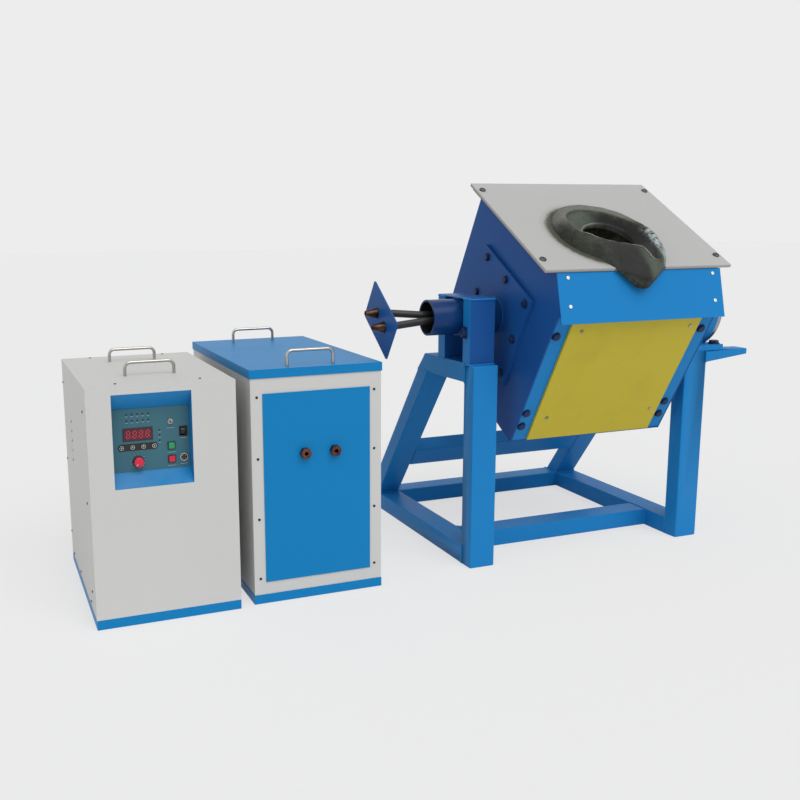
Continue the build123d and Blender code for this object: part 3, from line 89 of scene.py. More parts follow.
REST_TILT = math.radians(30.0)
POWER = placed(low("psu_base_tray"))
BANK = placed(low("cap_base_tray"))
STAND = placed(low("left_trestle"))
PIVOT = joint_point("body_tilt")
BODY = placed(PIVOT, Matrix.Rotation(REST_TILT, 4, "X"))
AXLE = placed(PIVOT)

NODE_BODY = {n: b for b, names in frame["record"]["behaviour"]["bodies"].items() for n in names}
NODE_SLOT = {s["node"]: s["material_slot"] for s in frame["record"]["subparts"]}


def size_mm(node):
    """Outer size of a CAD node, in millimetres."""
    return (high(node) - low(node)) / MM


POWER_SIZE = Vector((size_mm("psu_base_tray").x, size_mm("psu_base_tray").y, high("psu_cover").z / MM))

# ---------------------------------------------------------------- sizes shared with the construction, mm
BASE_HEIGHT = 24.0
SIDE_SCREW = {"front": 64.0, "z": (74.0, 294.0, 514.0), "rear_z": (89.0, 300.0, 515.0), "tray": 12.0}
COVER_SCREW = {"inset": 75.0, "front": 46.0, "rear": 14.0}                  # top of the power cabinet
FAN = {"x": 175.0, "z": 420.0, "half_pitch": 52.5}
PANEL_SCREW = {"x": (17.0, 325.5), "z": (66.0, 220.0, 373.5, 527.0)}         # capacitor cabinet's front
RECESS_DEPTH = 38.0
DISPLAY = {"x": 120.5, "z": 456.0, "width": 66.0, "height": 27.0}
KEY = {"first": 81.5, "pitch": 25.5, "z": 425.5, "radius": 5.2}
KNOB = {"x": 119.0, "z": 390.5, "radius": 13.5, "depth": 17.0}
LAMPS = {"first": 96.0, "pitch": 12.6, "rows": (504.0, 489.0), "radius": 2.0}
STATUS = {"x": 171.5, "z": (462.0, 449.5, 437.0)}
START = (199.0, 422.0)
STOP = (199.0, 389.5)
TOGGLE = (198.0, 481.0)
ROCKER = (228.0, 455.0)
SOCKET = (228.0, 391.5)
BODY_SPAN = (135.0, 639.0)
BODY_MIDDLE = sum(BODY_SPAN) / 2
BODY_FRONT = -247.0
BODY_BACK = 248.0
BODY_TOP = 257.0
CHAMFER = (68.0, 73.0)
DECK = 265.0
PLATE_FRONT = -186.0
FLANGE = {"reach": 115.0, "thickness": 10.0}
TUBE = (75.0, 50.0)
FRAME_SIZE = (774.0, 705.0, 563.0)
GEARBOX = {"right": 820.0, "radius": 120.0, "cover_bolts": 100.0}
GEAR_FOOT = {"thickness": 16.0, "x": (717.0, 821.0), "y": (24.0, 206.0)}     # bolts of the foot plate
KEEPER_BOLT = (-4.0, 51.0, 648.0)
LEG = {"top": 295.0, "foot": 695.0}                                          # rear face of the slanted leg
CROSS_TUBE = 141.0                                                           # front face of the front one
UPRIGHTS = {"y": ((22.8, 62.8), (167.2, 207.2)), "height": 175.0}            # of the pedestal
BRACKETS = {"y": (0.0, 180.0), "width": 50.0, "drop": 34.0}                  # under the gear case's foot
TRUNNION = {"bore": (40.0, 44.6), "seam": 48.5}                              # radii of the hollow trunnion
ANGLE_BOLTS = {"x": (151.0, 611.0), "w": (104.0, -153.0, -199.0)}
DECK_SCREWS = {"half_pitch": 273.0, "u": (-138.0, 220.0)}
APRON_SCREWS = {"x": (163.4, 617.4), "share": (0.19, 0.92)}                  # share of the way down the slope
BOARD_SCREWS = {"x": (219.5, 564.5), "w": (120.0, -171.0)}
BOARD_THICKNESS = 6.0
APRON_THICKNESS = 2.5
POT = (376.0, -36.0)
RIM = (362.0, -22.0)


# ---------------------------------------------------------------- settings
def paint_setting(name, words, default):
    """Colour that a user can change."""
    return FloatVectorProperty(name=name, description=words, subtype="COLOR", default=default)


def length_setting(name, words, default):
    """Length in metres that a user can change."""
    return FloatProperty(name=name, description=words, unit="LENGTH", default=default)


class FurnaceSettings(bpy.types.PropertyGroup):
    cabinet_blue: paint_setting("Cabinet blue", "Powder coat of trays, lid and panels", (0.004, 0.200, 0.480))
    frame_blue: paint_setting("Frame blue", "Enamel of the furnace frame", (0.012, 0.210, 0.530))
    body_blue: paint_setting("Body blue", "Enamel of the tilting body's walls", (0.012, 0.085, 0.300))
    bolt_blue: paint_setting("Bolt blue", "Enamel of the body's bolts", (0.006, 0.022, 0.085))
    plate_blue: paint_setting("Terminal plate blue", "Enamel of the terminal plate", (0.014, 0.095, 0.300))
    tube_blue: paint_setting("Tube blue", "Enamel of the hollow trunnion", (0.003, 0.035, 0.140))
    cabinet_grey: paint_setting("Cabinet grey", "Powder coat of the cabinets", (0.585, 0.585, 0.565))
    plate_grey: paint_setting("Top plate grey", "Plate round the pouring mouth", (0.45, 0.45, 0.44))
    board_yellow: paint_setting("Board yellow", "Insulating boards", (0.56, 0.45, 0.012))
    panel_teal: paint_setting("Panel teal", "Control plate", (0.050, 0.150, 0.190))
    background: paint_setting("Background", "Floor and backdrop", (0.847, 0.847, 0.847))
    sheet_edge: length_setting("Sheet edge", "Rounding of folded sheet edges", 0.0009)
    tube_edge: length_setting("Tube edge", "Corner rounding of the frame's tube", 0.0035)
    weld_bead: length_setting("Weld bead", "Radius of a weld bead", 0.0024)
    rim_height: length_setting("Rim height", "Crest of the pouring mouth above its plate", 0.036)
    rim_rays: IntProperty(name="Rim rays", description="Directions round the mouth", default=330, min=24)
    rim_steps: IntProperty(name="Rim steps", description="Points from throat to foot", default=84, min=12)


def settings():
    """The settings of this furnace that the scene holds."""
    return bpy.context.scene.furnace_settings


# ================================================================ shader groups
def new_group(name, inputs, outputs):
    """Empty shader group with its sockets."""
    tree = bpy.data.node_groups.new(name, "ShaderNodeTree")
    for label, kind, default in inputs:
        socket = tree.interface.new_socket(name=label, in_out="INPUT", socket_type=kind)
        if default is not None:
            socket.default_value = default
    for label, kind in outputs:
        tree.interface.new_socket(name=label, in_out="OUTPUT", socket_type=kind)
    return tree, tree.nodes.new("NodeGroupInput"), tree.nodes.new("NodeGroupOutput")


def add_node(tree, kind, inputs, **choices):
    """Node with its choices made and its inputs fed, each by a socket or by a plain value."""
    node = tree.nodes.new(kind)
    for name, value in choices.items():
        setattr(node, name, value)
    for key, value in inputs.items():
        if isinstance(value, bpy.types.NodeSocket):
            tree.links.new(value, node.inputs[key])
        else:
            node.inputs[key].default_value = value
    return node


def math_node(tree, operation, a, b, clamp=False):
    """Sum, product or the like of two sockets or numbers."""
    return add_node(tree, "ShaderNodeMath", {0: a, 1: b}, operation=operation, use_clamp=clamp).outputs[0]


def noise_node(tree, vector, scale, detail=4.0, roughness=0.55):
    """Noise texture, fed by numbers or sockets; returns its factor."""
    inputs = {"Vector": vector, "Scale": scale, "Detail": detail, "Roughness": roughness}
    return add_node(tree, "ShaderNodeTexNoise", inputs).outputs["Fac"]


def mix_colour(tree, factor, a, b):
    """Mix of two colours, each a socket or a tuple."""
    a, b = (c if isinstance(c, bpy.types.NodeSocket) else (*c[:3], 1.0) for c in (a, b))
    return add_node(tree, "ShaderNodeMix", {0: factor, 6: a, 7: b}, data_type="RGBA").outputs[2]


def remap(tree, value, low_in, high_in, low_out=0.0, high_out=1.0):
    """Map a socket's range onto another one."""
    inputs = {0: value, 1: low_in, 2: high_in, 3: low_out, 4: high_out}
    return add_node(tree, "ShaderNodeMapRange", inputs).outputs[0]


def object_vector(tree):
    """Object coordinates."""
    return tree.nodes.new("ShaderNodeTexCoord").outputs["Object"]


def coat_group():
    """Painted surface: slow shade changes, fine grain in height, and roughness that wanders."""
    tree, source, sink = new_group(
        "painted_coat",
        [("Color", "NodeSocketColor", None), ("Shade", "NodeSocketFloat", 0.06),
         ("Grain size", "NodeSocketFloat", 900.0), ("Roughness", "NodeSocketFloat", 0.4),
         ("Wander", "NodeSocketFloat", 0.08)],
        [("Color", "NodeSocketColor"), ("Roughness", "NodeSocketFloat"), ("Height", "NodeSocketFloat")])
    place = object_vector(tree)
    slow = noise_node(tree, place, 5.0, 3.0)
    fine = noise_node(tree, place, source.outputs["Grain size"], 2.0)
    swing = math_node(tree, "MULTIPLY", math_node(tree, "SUBTRACT", slow, 0.5), source.outputs["Shade"])
    gain = math_node(tree, "ADD", swing, 1.0)
    scaled = add_node(tree, "ShaderNodeVectorMath", {0: source.outputs["Color"], "Scale": gain},
                      operation="SCALE")
    tree.links.new(scaled.outputs[0], sink.inputs["Color"])
    smear = noise_node(tree, place, 23.0, 5.0, 0.65)
    drift = math_node(tree, "MULTIPLY", math_node(tree, "SUBTRACT", smear, 0.5), source.outputs["Wander"])
    uneven = math_node(tree, "ADD", source.outputs["Roughness"], drift, clamp=True)
    tree.links.new(uneven, sink.inputs["Roughness"])
    tree.links.new(fine, sink.inputs["Height"])
    return tree


def dust_group():
    """Dust that lies where a surface faces up, in soft clouds."""
    tree, source, sink = new_group(
        "settled_dust", [("Amount", "NodeSocketFloat", 0.2)], [("Mask", "NodeSocketFloat")])
    normal = tree.nodes.new("ShaderNodeNewGeometry").outputs["Normal"]
    split = add_node(tree, "ShaderNodeSeparateXYZ", {0: normal})
    up = remap(tree, split.outputs["Z"], 0.25, 1.0)
    clouds = remap(tree, noise_node(tree, object_vector(tree), 9.0, 6.0, 0.6), 0.35, 0.7)
    both = math_node(tree, "MULTIPLY", up, clouds)
    mask = math_node(tree, "MULTIPLY", both, source.outputs["Amount"], clamp=True)
    tree.links.new(mask, sink.inputs["Mask"])
    return tree


GROUP_MAKERS = {"painted_coat": coat_group, "settled_dust": dust_group}


def use_group(tree, name, **values):
    """Shared group, made when it is first asked for, with its inputs set."""
    node = tree.nodes.new("ShaderNodeGroup")
    node.node_tree = bpy.data.node_groups.get(name) or GROUP_MAKERS[name]()
    for label, value in values.items():
        socket = node.inputs[label.replace("_", " ").capitalize()]
        socket.default_value = (*value, 1.0) if socket.type == "RGBA" else value
    return node


# ================================================================ materials
def blank_material(name):
    """Empty material with its output and one Principled shader."""
    material = bpy.data.materials.new(name)
    material.use_nodes = True
    tree = material.node_tree
    tree.nodes.clear()
    shader = tree.nodes.new("ShaderNodeBsdfPrincipled")
    output = tree.nodes.new("ShaderNodeOutputMaterial")
    tree.links.new(shader.outputs[0], output.inputs["Surface"])
    return material, tree, shader


def add_bump(tree, shader, height, strength, distance):
    """Fine relief from a height."""
    bump = add_node(tree, "ShaderNodeBump", {"Strength": strength, "Distance": distance, "Height": height})
    tree.links.new(bump.outputs["Normal"], shader.inputs["Normal"])


def set_look(tree, shader, colour, roughness):
    """Feed a shader's colour and roughness."""
    tree.links.new(colour, shader.inputs["Base Color"])
    tree.links.new(roughness, shader.inputs["Roughness"])


def stretched(tree, scale):
    """Object coordinates, scaled along each axis."""
    return add_node(tree, "ShaderNodeMapping", {"Vector": object_vector(tree), "Scale": scale}).outputs[0]


def vector_node(tree, operation, value, constant):
    """Number worked out from a vector socket and a fixed vector."""
    node = add_node(tree, "ShaderNodeVectorMath", {0: value, 1: constant}, operation=operation)
    return node.outputs["Value"]


def painted(name, colour, roughness, grain=900.0, bump=0.12, shade=0.04, dust=0.03, gloss=0.22, coat=0.0):
    """Paint over steel, with a little dust where it faces up."""
    material, tree, shader = blank_material(name)
    surface = use_group(tree, "painted_coat", color=tuple(colour), shade=shade, grain_size=grain,
                        roughness=roughness)
    dusty = use_group(tree, "settled_dust", amount=dust)
    top = mix_colour(tree, dusty.outputs["Mask"], surface.outputs["Color"], (0.55, 0.54, 0.50))
    set_look(tree, shader, top, surface.outputs["Roughness"])
    shader.inputs["Specular IOR Level"].default_value = gloss
    shader.inputs["Coat Weight"].default_value = coat
    shader.inputs["Coat Roughness"].default_value = 0.12
    add_bump(tree, shader, surface.outputs["Height"], bump, 0.0004)
    return material


def metal(name, colour, roughness, brushed=(1.0, 1.0, 1.0), grain=300.0, bump=0.06, stain=None):
    """Bare metal with fine turning or drawing marks, and a stain where it is heated or handled."""
    material, tree, shader = blank_material(name)
    marks = noise_node(tree, stretched(tree, brushed), grain, 4.0, 0.7)
    clouds = noise_node(tree, object_vector(tree), 45.0, 5.0, 0.65)
    shaded = mix_colour(tree, remap(tree, marks, 0.3, 0.7, 0.0, 0.25), colour, [c * 0.6 for c in colour])
    if stain:
        shaded = mix_colour(tree, remap(tree, clouds, 0.42, 0.62), shaded, stain)
    set_look(tree, shader, shaded, remap(tree, clouds, 0.3, 0.7, roughness * 0.75, roughness * 1.35))
    shader.inputs["Metallic"].default_value = 1.0
    add_bump(tree, shader, marks, bump, 0.0002)
    return material


def plastic(name, colour, roughness, grain=1500.0, bump=0.08):
    """Moulded plastic with a faint spark texture and finger marks in its gloss."""
    material, tree, shader = blank_material(name)
    surface = use_group(tree, "painted_coat", color=tuple(colour), shade=0.10, grain_size=grain,
                        roughness=roughness, wander=0.14)
    dusty = use_group(tree, "settled_dust", amount=0.10)
    top = mix_colour(tree, dusty.outputs["Mask"], surface.outputs["Color"], (0.4, 0.4, 0.38))
    set_look(tree, shader, top, surface.outputs["Roughness"])
    add_bump(tree, shader, surface.outputs["Height"], bump, 0.0002)
    return material


def board_yellow():
    """Pressed glass-fibre board: faint fibre streaks, and grime near its screws."""
    material, tree, shader = blank_material("pressed_yellow_board")
    fibres = noise_node(tree, stretched(tree, (1.0, 6.0, 6.0)), 60.0, 6.0, 0.7)
    clouds = noise_node(tree, object_vector(tree), 7.0, 4.0, 0.6)
    base = settings().board_yellow
    streaked = mix_colour(tree, remap(tree, fibres, 0.35, 0.7, 0.0, 0.35), base, [c * 0.80 for c in base])
    soiled = mix_colour(tree, remap(tree, clouds, 0.5, 0.8, 0.0, 0.22), streaked, (0.30, 0.25, 0.05))
    set_look(tree, shader, soiled, remap(tree, clouds, 0.3, 0.7, 0.48, 0.62))
    add_bump(tree, shader, fibres, 0.10, 0.0003)
    return material


def sooted_plate():
    """Top plate: brushed mineral sheet with soot and heat tint round the pouring mouth."""
    material, tree, shader = blank_material("sooted_top_plate")
    place = object_vector(tree)
    base = settings().plate_grey
    surface = use_group(tree, "painted_coat", color=tuple(base), shade=0.08, grain_size=420.0, roughness=0.55)
    centre = BODY @ Vector((RIM[0] - 5.0, RIM[1] - 6.0, DECK))
    reach = vector_node(tree, "DISTANCE", place, centre)
    ragged = noise_node(tree, place, 60.0, 6.0, 0.7)
    edge = math_node(tree, "ADD", reach, math_node(tree, "MULTIPLY", ragged, -0.016))
    tint = remap(tree, edge, 0.138, 0.166, 0.55, 0.0)
    soot = remap(tree, edge, 0.140, 0.152, 0.95, 0.0)
    warm = mix_colour(tree, tint, surface.outputs["Color"], (0.22, 0.21, 0.16))
    dark = mix_colour(tree, soot, warm, (0.050, 0.048, 0.033))
    upward = BODY.to_3x3() @ Vector((0, 0, 1.0 / MM))
    along = vector_node(tree, "DOT_PRODUCT", place, upward)
    top_face = (BODY @ Vector((0, 0, DECK))).dot(upward)
    rim = remap(tree, along, top_face - 0.0062, top_face - 0.0022, 0.8, 0.0)
    edged = mix_colour(tree, rim, dark, (0.40, 0.29, 0.20))
    set_look(tree, shader, edged, surface.outputs["Roughness"])
    shader.inputs["Specular IOR Level"].default_value = 0.3
    add_bump(tree, shader, surface.outputs["Height"], 0.15, 0.0003)
    return material


def mask_value(tree, name):
    """Mask that a mesh carries under this name."""
    return add_node(tree, "ShaderNodeAttribute", {}, attribute_name=name).outputs["Fac"]


def rammed_refractory():
    """Glazed clay and graphite: mottled olive, ashen at the back, chalky where the right crest has worn."""
    material, tree, shader = blank_material("rammed_refractory")
    place = object_vector(tree)
    blotch = noise_node(tree, place, 30.0, 8.0, 0.78)
    pits = noise_node(tree, place, 150.0, 6.0, 0.8)
    grain = noise_node(tree, place, 380.0, 4.0, 0.75)
    olive = mix_colour(tree, remap(tree, blotch, 0.42, 0.60), (0.016, 0.017, 0.011), (0.075, 0.085, 0.060))
    mottled = mix_colour(tree, remap(tree, grain, 0.46, 0.58, 0.0, 0.65), olive, (0.010, 0.011, 0.008))
    speck = mix_colour(tree, remap(tree, pits, 0.56, 0.70, 0.0, 0.55), mottled, (0.13, 0.145, 0.115))
    # Lighter green: glaze, with painted light on the inner wall at the left and back and a painted highlight on
    # the spout's right front.
    glaze_and_painted_light = math_node(tree, "MULTIPLY", mask_value(tree, "glaze_and_painted_light"), remap(tree, grain, 0.40, 0.60, 0.15, 0.85))
    glazed_and_lit = mix_colour(tree, glaze_and_painted_light, speck, (0.105, 0.135, 0.105))
    ash = math_node(tree, "MULTIPLY", mask_value(tree, "ash"), remap(tree, pits, 0.38, 0.58, 0.45, 0.90))
    ashen = mix_colour(tree, ash, glazed_and_lit, (0.19, 0.19, 0.165))
    line = math_node(tree, "MULTIPLY", mask_value(tree, "crest"), remap(tree, pits, 0.35, 0.55, 0.35, 0.95))
    pale = mix_colour(tree, line, ashen, (0.40, 0.41, 0.38))
    scrape = remap(tree, noise_node(tree, place, 85.0, 7.0, 0.75), 0.43, 0.55)
    patch = math_node(tree, "MULTIPLY", mask_value(tree, "chalk"), scrape)
    white = mix_colour(tree, patch, pale, (0.42, 0.48, 0.48))
    # Near black: char, with painted shade on the inner right wall and the spout's left flank.
    char_and_shade = math_node(tree, "MULTIPLY", mask_value(tree, "char_and_shade"), 0.82)
    burnt_and_shaded = mix_colour(tree, char_and_shade, white, (0.010, 0.009, 0.011))
    set_look(tree, shader, burnt_and_shaded, remap(tree, blotch, 0.35, 0.65, 0.55, 0.85))
    shader.inputs["Specular IOR Level"].default_value = 0.3
    height = math_node(tree, "ADD", math_node(tree, "MULTIPLY", pits, 0.5), blotch)
    add_bump(tree, shader, height, 0.5, 0.0025)
    return material


def crucible_clay():
    """Dark clay-graphite crucible with a slag tide."""
    material, tree, shader = blank_material("crucible_clay")
    place = object_vector(tree)
    blotch = noise_node(tree, place, 18.0, 7.0, 0.7)
    colour = mix_colour(tree, remap(tree, blotch, 0.4, 0.65), (0.012, 0.011, 0.012), (0.045, 0.038, 0.034))
    set_look(tree, shader, colour, remap(tree, blotch, 0.3, 0.7, 0.5, 0.85))
    add_bump(tree, shader, blotch, 0.4, 0.001)
    return material


def display_window():
    """Dark red filter of the meter, smoother than the plate round it."""
    material, tree, shader = blank_material("meter_window")
    clouds = noise_node(tree, object_vector(tree), 160.0, 3.0)
    colour = mix_colour(tree, remap(tree, clouds, 0.3, 0.7), (0.055, 0.004, 0.012), (0.10, 0.008, 0.02))
    set_look(tree, shader, colour, remap(tree, clouds, 0.3, 0.7, 0.14, 0.22))
    return material


def lit_segment():
    """Glowing red figures of the meter."""
    material, tree, shader = blank_material("lit_segment")
    clouds = noise_node(tree, object_vector(tree), 300.0, 2.0)
    colour = mix_colour(tree, remap(tree, clouds, 0.3, 0.7), (0.42, 0.02, 0.05), (0.55, 0.03, 0.07))
    tree.links.new(colour, shader.inputs["Base Color"])
    tree.links.new(colour, shader.inputs["Emission Color"])
    shader.inputs["Emission Strength"].default_value = 0.35
    shader.inputs["Roughness"].default_value = 0.3
    return material


def make_materials():
    """Every finish, by the name that the builders use."""
    s = settings()
    return {
        "blue_paint": painted("satin_blue_powder", s.cabinet_blue, 0.42, grain=1400.0, bump=0.08, gloss=0.15),
        "frame_paint": painted("frame_enamel", s.frame_blue, 0.42, grain=500.0, bump=0.10, gloss=0.12),
        "body_paint": painted("body_enamel", s.body_blue, 0.36, grain=420.0, bump=0.10, gloss=0.10),
        "bolt_paint": painted("bolt_enamel", s.bolt_blue, 0.40, grain=420.0, bump=0.12),
        "grey_paint": painted("textured_grey_powder", s.cabinet_grey, 0.5, grain=1700.0, bump=0.18,
                              shade=0.03),
        "teal_panel": painted("matt_teal_panel", s.panel_teal, 0.5, grain=1500.0, bump=0.06, dust=0.0),
        "top_plate": sooted_plate(),
        "yellow_board": board_yellow(),
        "lamp_lens": display_window(),
        "lit_segment": lit_segment(),
        "legend": plastic("printed_legend", (0.45, 0.52, 0.53), 0.6),
        "dark_lens": plastic("unlit_lamp", (0.012, 0.03, 0.035), 0.2),
        "white_plastic": plastic("white_key", (0.62, 0.62, 0.60), 0.3),
        "black_plastic": plastic("black_moulding", (0.012, 0.012, 0.013), 0.35),
        "green_button": plastic("green_button_cap", (0.012, 0.30, 0.10), 0.22),
        "red_button": plastic("red_button_cap", (0.62, 0.012, 0.045), 0.22),
        "bright_steel": metal("bright_bar_steel", (0.46, 0.44, 0.41), 0.22, brushed=(1.0, 30.0, 30.0)),
        "zinc_screw": metal("zinc_plated_screw", (0.50, 0.49, 0.47), 0.32, stain=(0.20, 0.19, 0.17)),
        "dark_screw": metal("blackened_screw", (0.13, 0.13, 0.125), 0.5, stain=(0.06, 0.06, 0.055)),
        "white_screw": metal("bright_zinc_screw", (0.86, 0.86, 0.84), 0.42),
        "brushed_steel": metal("turned_steel", (0.40, 0.40, 0.39), 0.34, brushed=(40.0, 1.0, 1.0)),
        "aluminium": metal("milled_aluminium", (0.62, 0.63, 0.64), 0.38),
        "black_screw": metal("oiled_black_screw", (0.055, 0.05, 0.045), 0.45, stain=(0.02, 0.02, 0.018)),
        "copper": metal("heated_copper", (0.24, 0.095, 0.065), 0.38, stain=(0.07, 0.032, 0.030)),
        "dark_copper": metal("blackened_copper", (0.10, 0.055, 0.038), 0.30, stain=(0.022, 0.014, 0.012)),
        "plate_paint": painted("royal_blue_enamel", s.plate_blue, 0.40, grain=500.0, bump=0.08, gloss=0.1),
        "tube_paint": painted("glossy_navy_enamel", s.tube_blue, 0.26, grain=300.0, bump=0.10, gloss=0.2),
        "recess_paint": painted("hazy_blue_powder", s.cabinet_blue, 0.5, grain=1400.0, bump=0.08, dust=0.16,
                                gloss=0.4),
        "bronze": metal("cut_bronze", (0.52, 0.34, 0.13), 0.32),
        "circuit_board": plastic("green_circuit_board", (0.01, 0.09, 0.035), 0.4),
        "black_rubber": plastic("black_sleeve_rubber", (0.010, 0.010, 0.011), 0.42, grain=700.0, bump=0.2),
        "graphite": crucible_clay(),
        "refractory": rammed_refractory(),
    }


FINISH = {}


# ================================================================ mesh helpers
WELD_DISTANCE = 2e-6              # corners of a CAD mesh that are closer than this are one
FLAT_ANGLE = math.radians(0.6)    # and faces that turn less than this are flat


def smooth_mesh(mesh, sharp_degrees=38.0):
    """Smooth shading that breaks at sharp edges."""
    mesh.shade_smooth()
    mesh.set_sharp_from_angle(angle=math.radians(sharp_degrees))


def add_object(name, data):
    """New object of the scene, at the origin."""
    obj = bpy.data.objects.new(name, data)
    bpy.context.scene.collection.objects.link(obj)
    return obj


def finish_piece(name, mesh, node=None, finish=None, body=None):
    """Put a finished mesh in the scene, riding with its body."""
    obj = add_object(name, mesh)
    if finish:
        mesh.materials.clear()
        mesh.materials.append(FINISH[finish])
    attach(obj, body or NODE_BODY[node])
    if node:
        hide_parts(node)
    return obj


def mesh_from(bm, name, matrix=None):
    """Mesh made of a bmesh, which is freed."""
    if matrix is not None:
        bm.transform(matrix)
    mesh = bpy.data.meshes.new(name)
    bm.to_mesh(mesh)
    bm.free()
    return mesh


def merged_copy(node):
    """A CAD node's mesh with its triangles joined and its flat faces made whole."""
    source = frame["nodes"][node]
    bm = bmesh.new()
    bm.from_mesh(source.data)
    bm.transform(source.matrix_world)
    bmesh.ops.remove_doubles(bm, verts=bm.verts, dist=WELD_DISTANCE)
    bmesh.ops.dissolve_limit(bm, angle_limit=FLAT_ANGLE, verts=bm.verts, edges=bm.edges, delimit={"NORMAL"})
    return bm


def round_edges(bm, width, least_degrees=30.0, segments=2):
    """Bevel the edges that turn by more than the least angle."""
    least = math.radians(least_degrees)
    edges = [e for e in bm.edges if len(e.link_faces) == 2 and e.calc_face_angle(0.0) > least]
    bmesh.ops.bevel(bm, geom=edges, offset=width, offset_type="OFFSET", segments=segments, profile=0.5,
                    affect="EDGES", clamp_overlap=True, miter_outer="SHARP")


def weighted_normals(obj):
    """Keep flat faces flat in shading beside their rounded edges."""
    modifier = obj.modifiers.new("normals", "WEIGHTED_NORMAL")
    modifier.keep_sharp = True


def dress(node, width=None, finish=None, least_degrees=30.0, segments=2):
    """The CAD node again, with rounded edges and smooth shading."""
    bm = merged_copy(node)
    if width:
        round_edges(bm, width, least_degrees, segments)
    mesh = mesh_from(bm, node + "_finished")
    smooth_mesh(mesh)
    obj = finish_piece(node + "_finished", mesh, node, finish or NODE_SLOT[node])
    if width:
        weighted_normals(obj)
    return obj


def paint_faces(obj, finish, test):
    """Second finish on the faces of a finished piece whose centre and normal pass the test."""
    obj.data.materials.append(FINISH[finish])
    index = len(obj.data.materials) - 1
    for face in obj.data.polygons:
        if test(face.center, face.normal):
            face.material_index = index


def circle_points(radius, z, steps, phase=0.0):
    """Corners of a level polygon about Z."""
    turns = [phase + 2 * math.pi * i / steps for i in range(steps)]
    return [(radius * math.cos(turn), radius * math.sin(turn), z) for turn in turns]


def skin(bm, loops):
    """Faces between closed loops of corners; a loop of one corner is a pole."""
    for a, b in zip(loops, loops[1:]):
        steps = max(len(a), len(b))
        for i in range(steps):
            j = (i + 1) % steps
            corners = [a[i % len(a)], a[j % len(a)], b[j % len(b)], b[i % len(b)]]
            unique = [v for k, v in enumerate(corners) if v not in corners[:k]]
            if len(unique) > 2:
                bm.faces.new(unique)


def spun_profile(points, steps=24):
    """Closed body of revolution about Z from (radius, height) points."""
    bm = bmesh.new()
    rings = []
    for radius, z in points:
        corners = circle_points(radius, z, steps) if radius > 1e-9 else [(0, 0, z)]
        rings.append([bm.verts.new(corner) for corner in corners])
    skin(bm, rings)
    bmesh.ops.recalc_face_normals(bm, faces=bm.faces)
    return bm


def finished_mesh(bm, name, finish, matrix=None):
    """Mesh in one finish, ready to be joined."""
    mesh = mesh_from(bm, name, matrix)
    mesh.materials.append(FINISH[finish])
    return mesh


# ================================================================ fasteners
SHEET_SCREW = (3.2, 1.8, 0.8)            # radius, height and depth of the recess
SMALL_SCREW = (5.0, 3.0, 1.2)
DECK_SCREW = (9.0, 4.5, 1.8)
BODY_BOLT = (19.0, 6.2, 12.5, 1.3)       # across flats, height, washer's radius and thickness
COVER_BOLT = (10.0, 5.0, 7.5, 1.4)
FOOT_BOLT = (24.0, 8.0, 16.8, 3.0)
BARE_BOLT = (24.0, 8.0, 0.0, 0.0)


def screw_head(radius, height, recess):
    """Pan head with a cross recess, standing along +Z from z = 0."""
    steps = 32
    bm = bmesh.new()
    rings = [(1.0, 0.0), (1.0, 0.45), (0.93, 0.78), (0.78, 0.96), (0.62, 1.0), (0.45, 1.0), (0.25, 1.0)]
    loops = []
    for share, level in rings:
        loop = []
        for i in range(steps):
            turn = 2 * math.pi * i / steps
            arm = min(abs(((turn + math.pi / 4) % (math.pi / 2)) - math.pi / 4) * share / 0.18, 1.0)
            drop = recess * (1 - arm) if share < 0.65 else 0.0
            loop.append(bm.verts.new((radius * share * math.cos(turn), radius * share * math.sin(turn),
                                      height * level - drop)))
        loops.append(loop)
    centre = bm.verts.new((0, 0, height - recess * 1.2))
    skin(bm, loops + [[centre]])
    bm.faces.new(list(reversed(loops[0])))
    return bm


def hex_head(flats, height, washer_radius, washer):
    """Chamfered hexagon head on a washer, standing along +Z from z = 0."""
    bm = spun_profile([(0, 0), (washer_radius, 0), (washer_radius, washer * 0.7),
                       (washer_radius - 0.3, washer), (0, washer)], 32)
    corner = flats / 2 / math.cos(math.pi / 6)
    top = washer + height
    rings = ((1.0, washer), (1.0, washer + height * 0.82), (0.86, top), (0.5, top))
    loops = [[bm.verts.new(point) for point in circle_points(corner * share, z, 6)] for share, z in rings]
    skin(bm, loops)
    bm.faces.new(loops[-1])
    bm.faces.new(list(reversed(loops[0])))
    bmesh.ops.recalc_face_normals(bm, faces=bm.faces)
    return bm


def geometry_tree(name, inputs):
    """Empty geometry tree with its named inputs."""
    tree = bpy.data.node_groups.new(name, "GeometryNodeTree")
    for label, kind in inputs:
        tree.interface.new_socket(name=label, in_out="INPUT", socket_type=kind)
    tree.interface.new_socket(name="Geometry", in_out="OUTPUT", socket_type="NodeSocketGeometry")
    return tree, tree.nodes.new("NodeGroupInput"), tree.nodes.new("NodeGroupOutput")


def end_tree(tree, shape, source, sink):
    """Last nodes of a geometry tree: real geometry in the finish that was asked for."""
    real = add_node(tree, "GeometryNodeRealizeInstances", {0: shape})
    coated = add_node(tree, "GeometryNodeSetMaterial",
                      {"Geometry": real.outputs[0], "Material": source.outputs["Finish"]})
    tree.links.new(coated.outputs[0], sink.inputs[0])


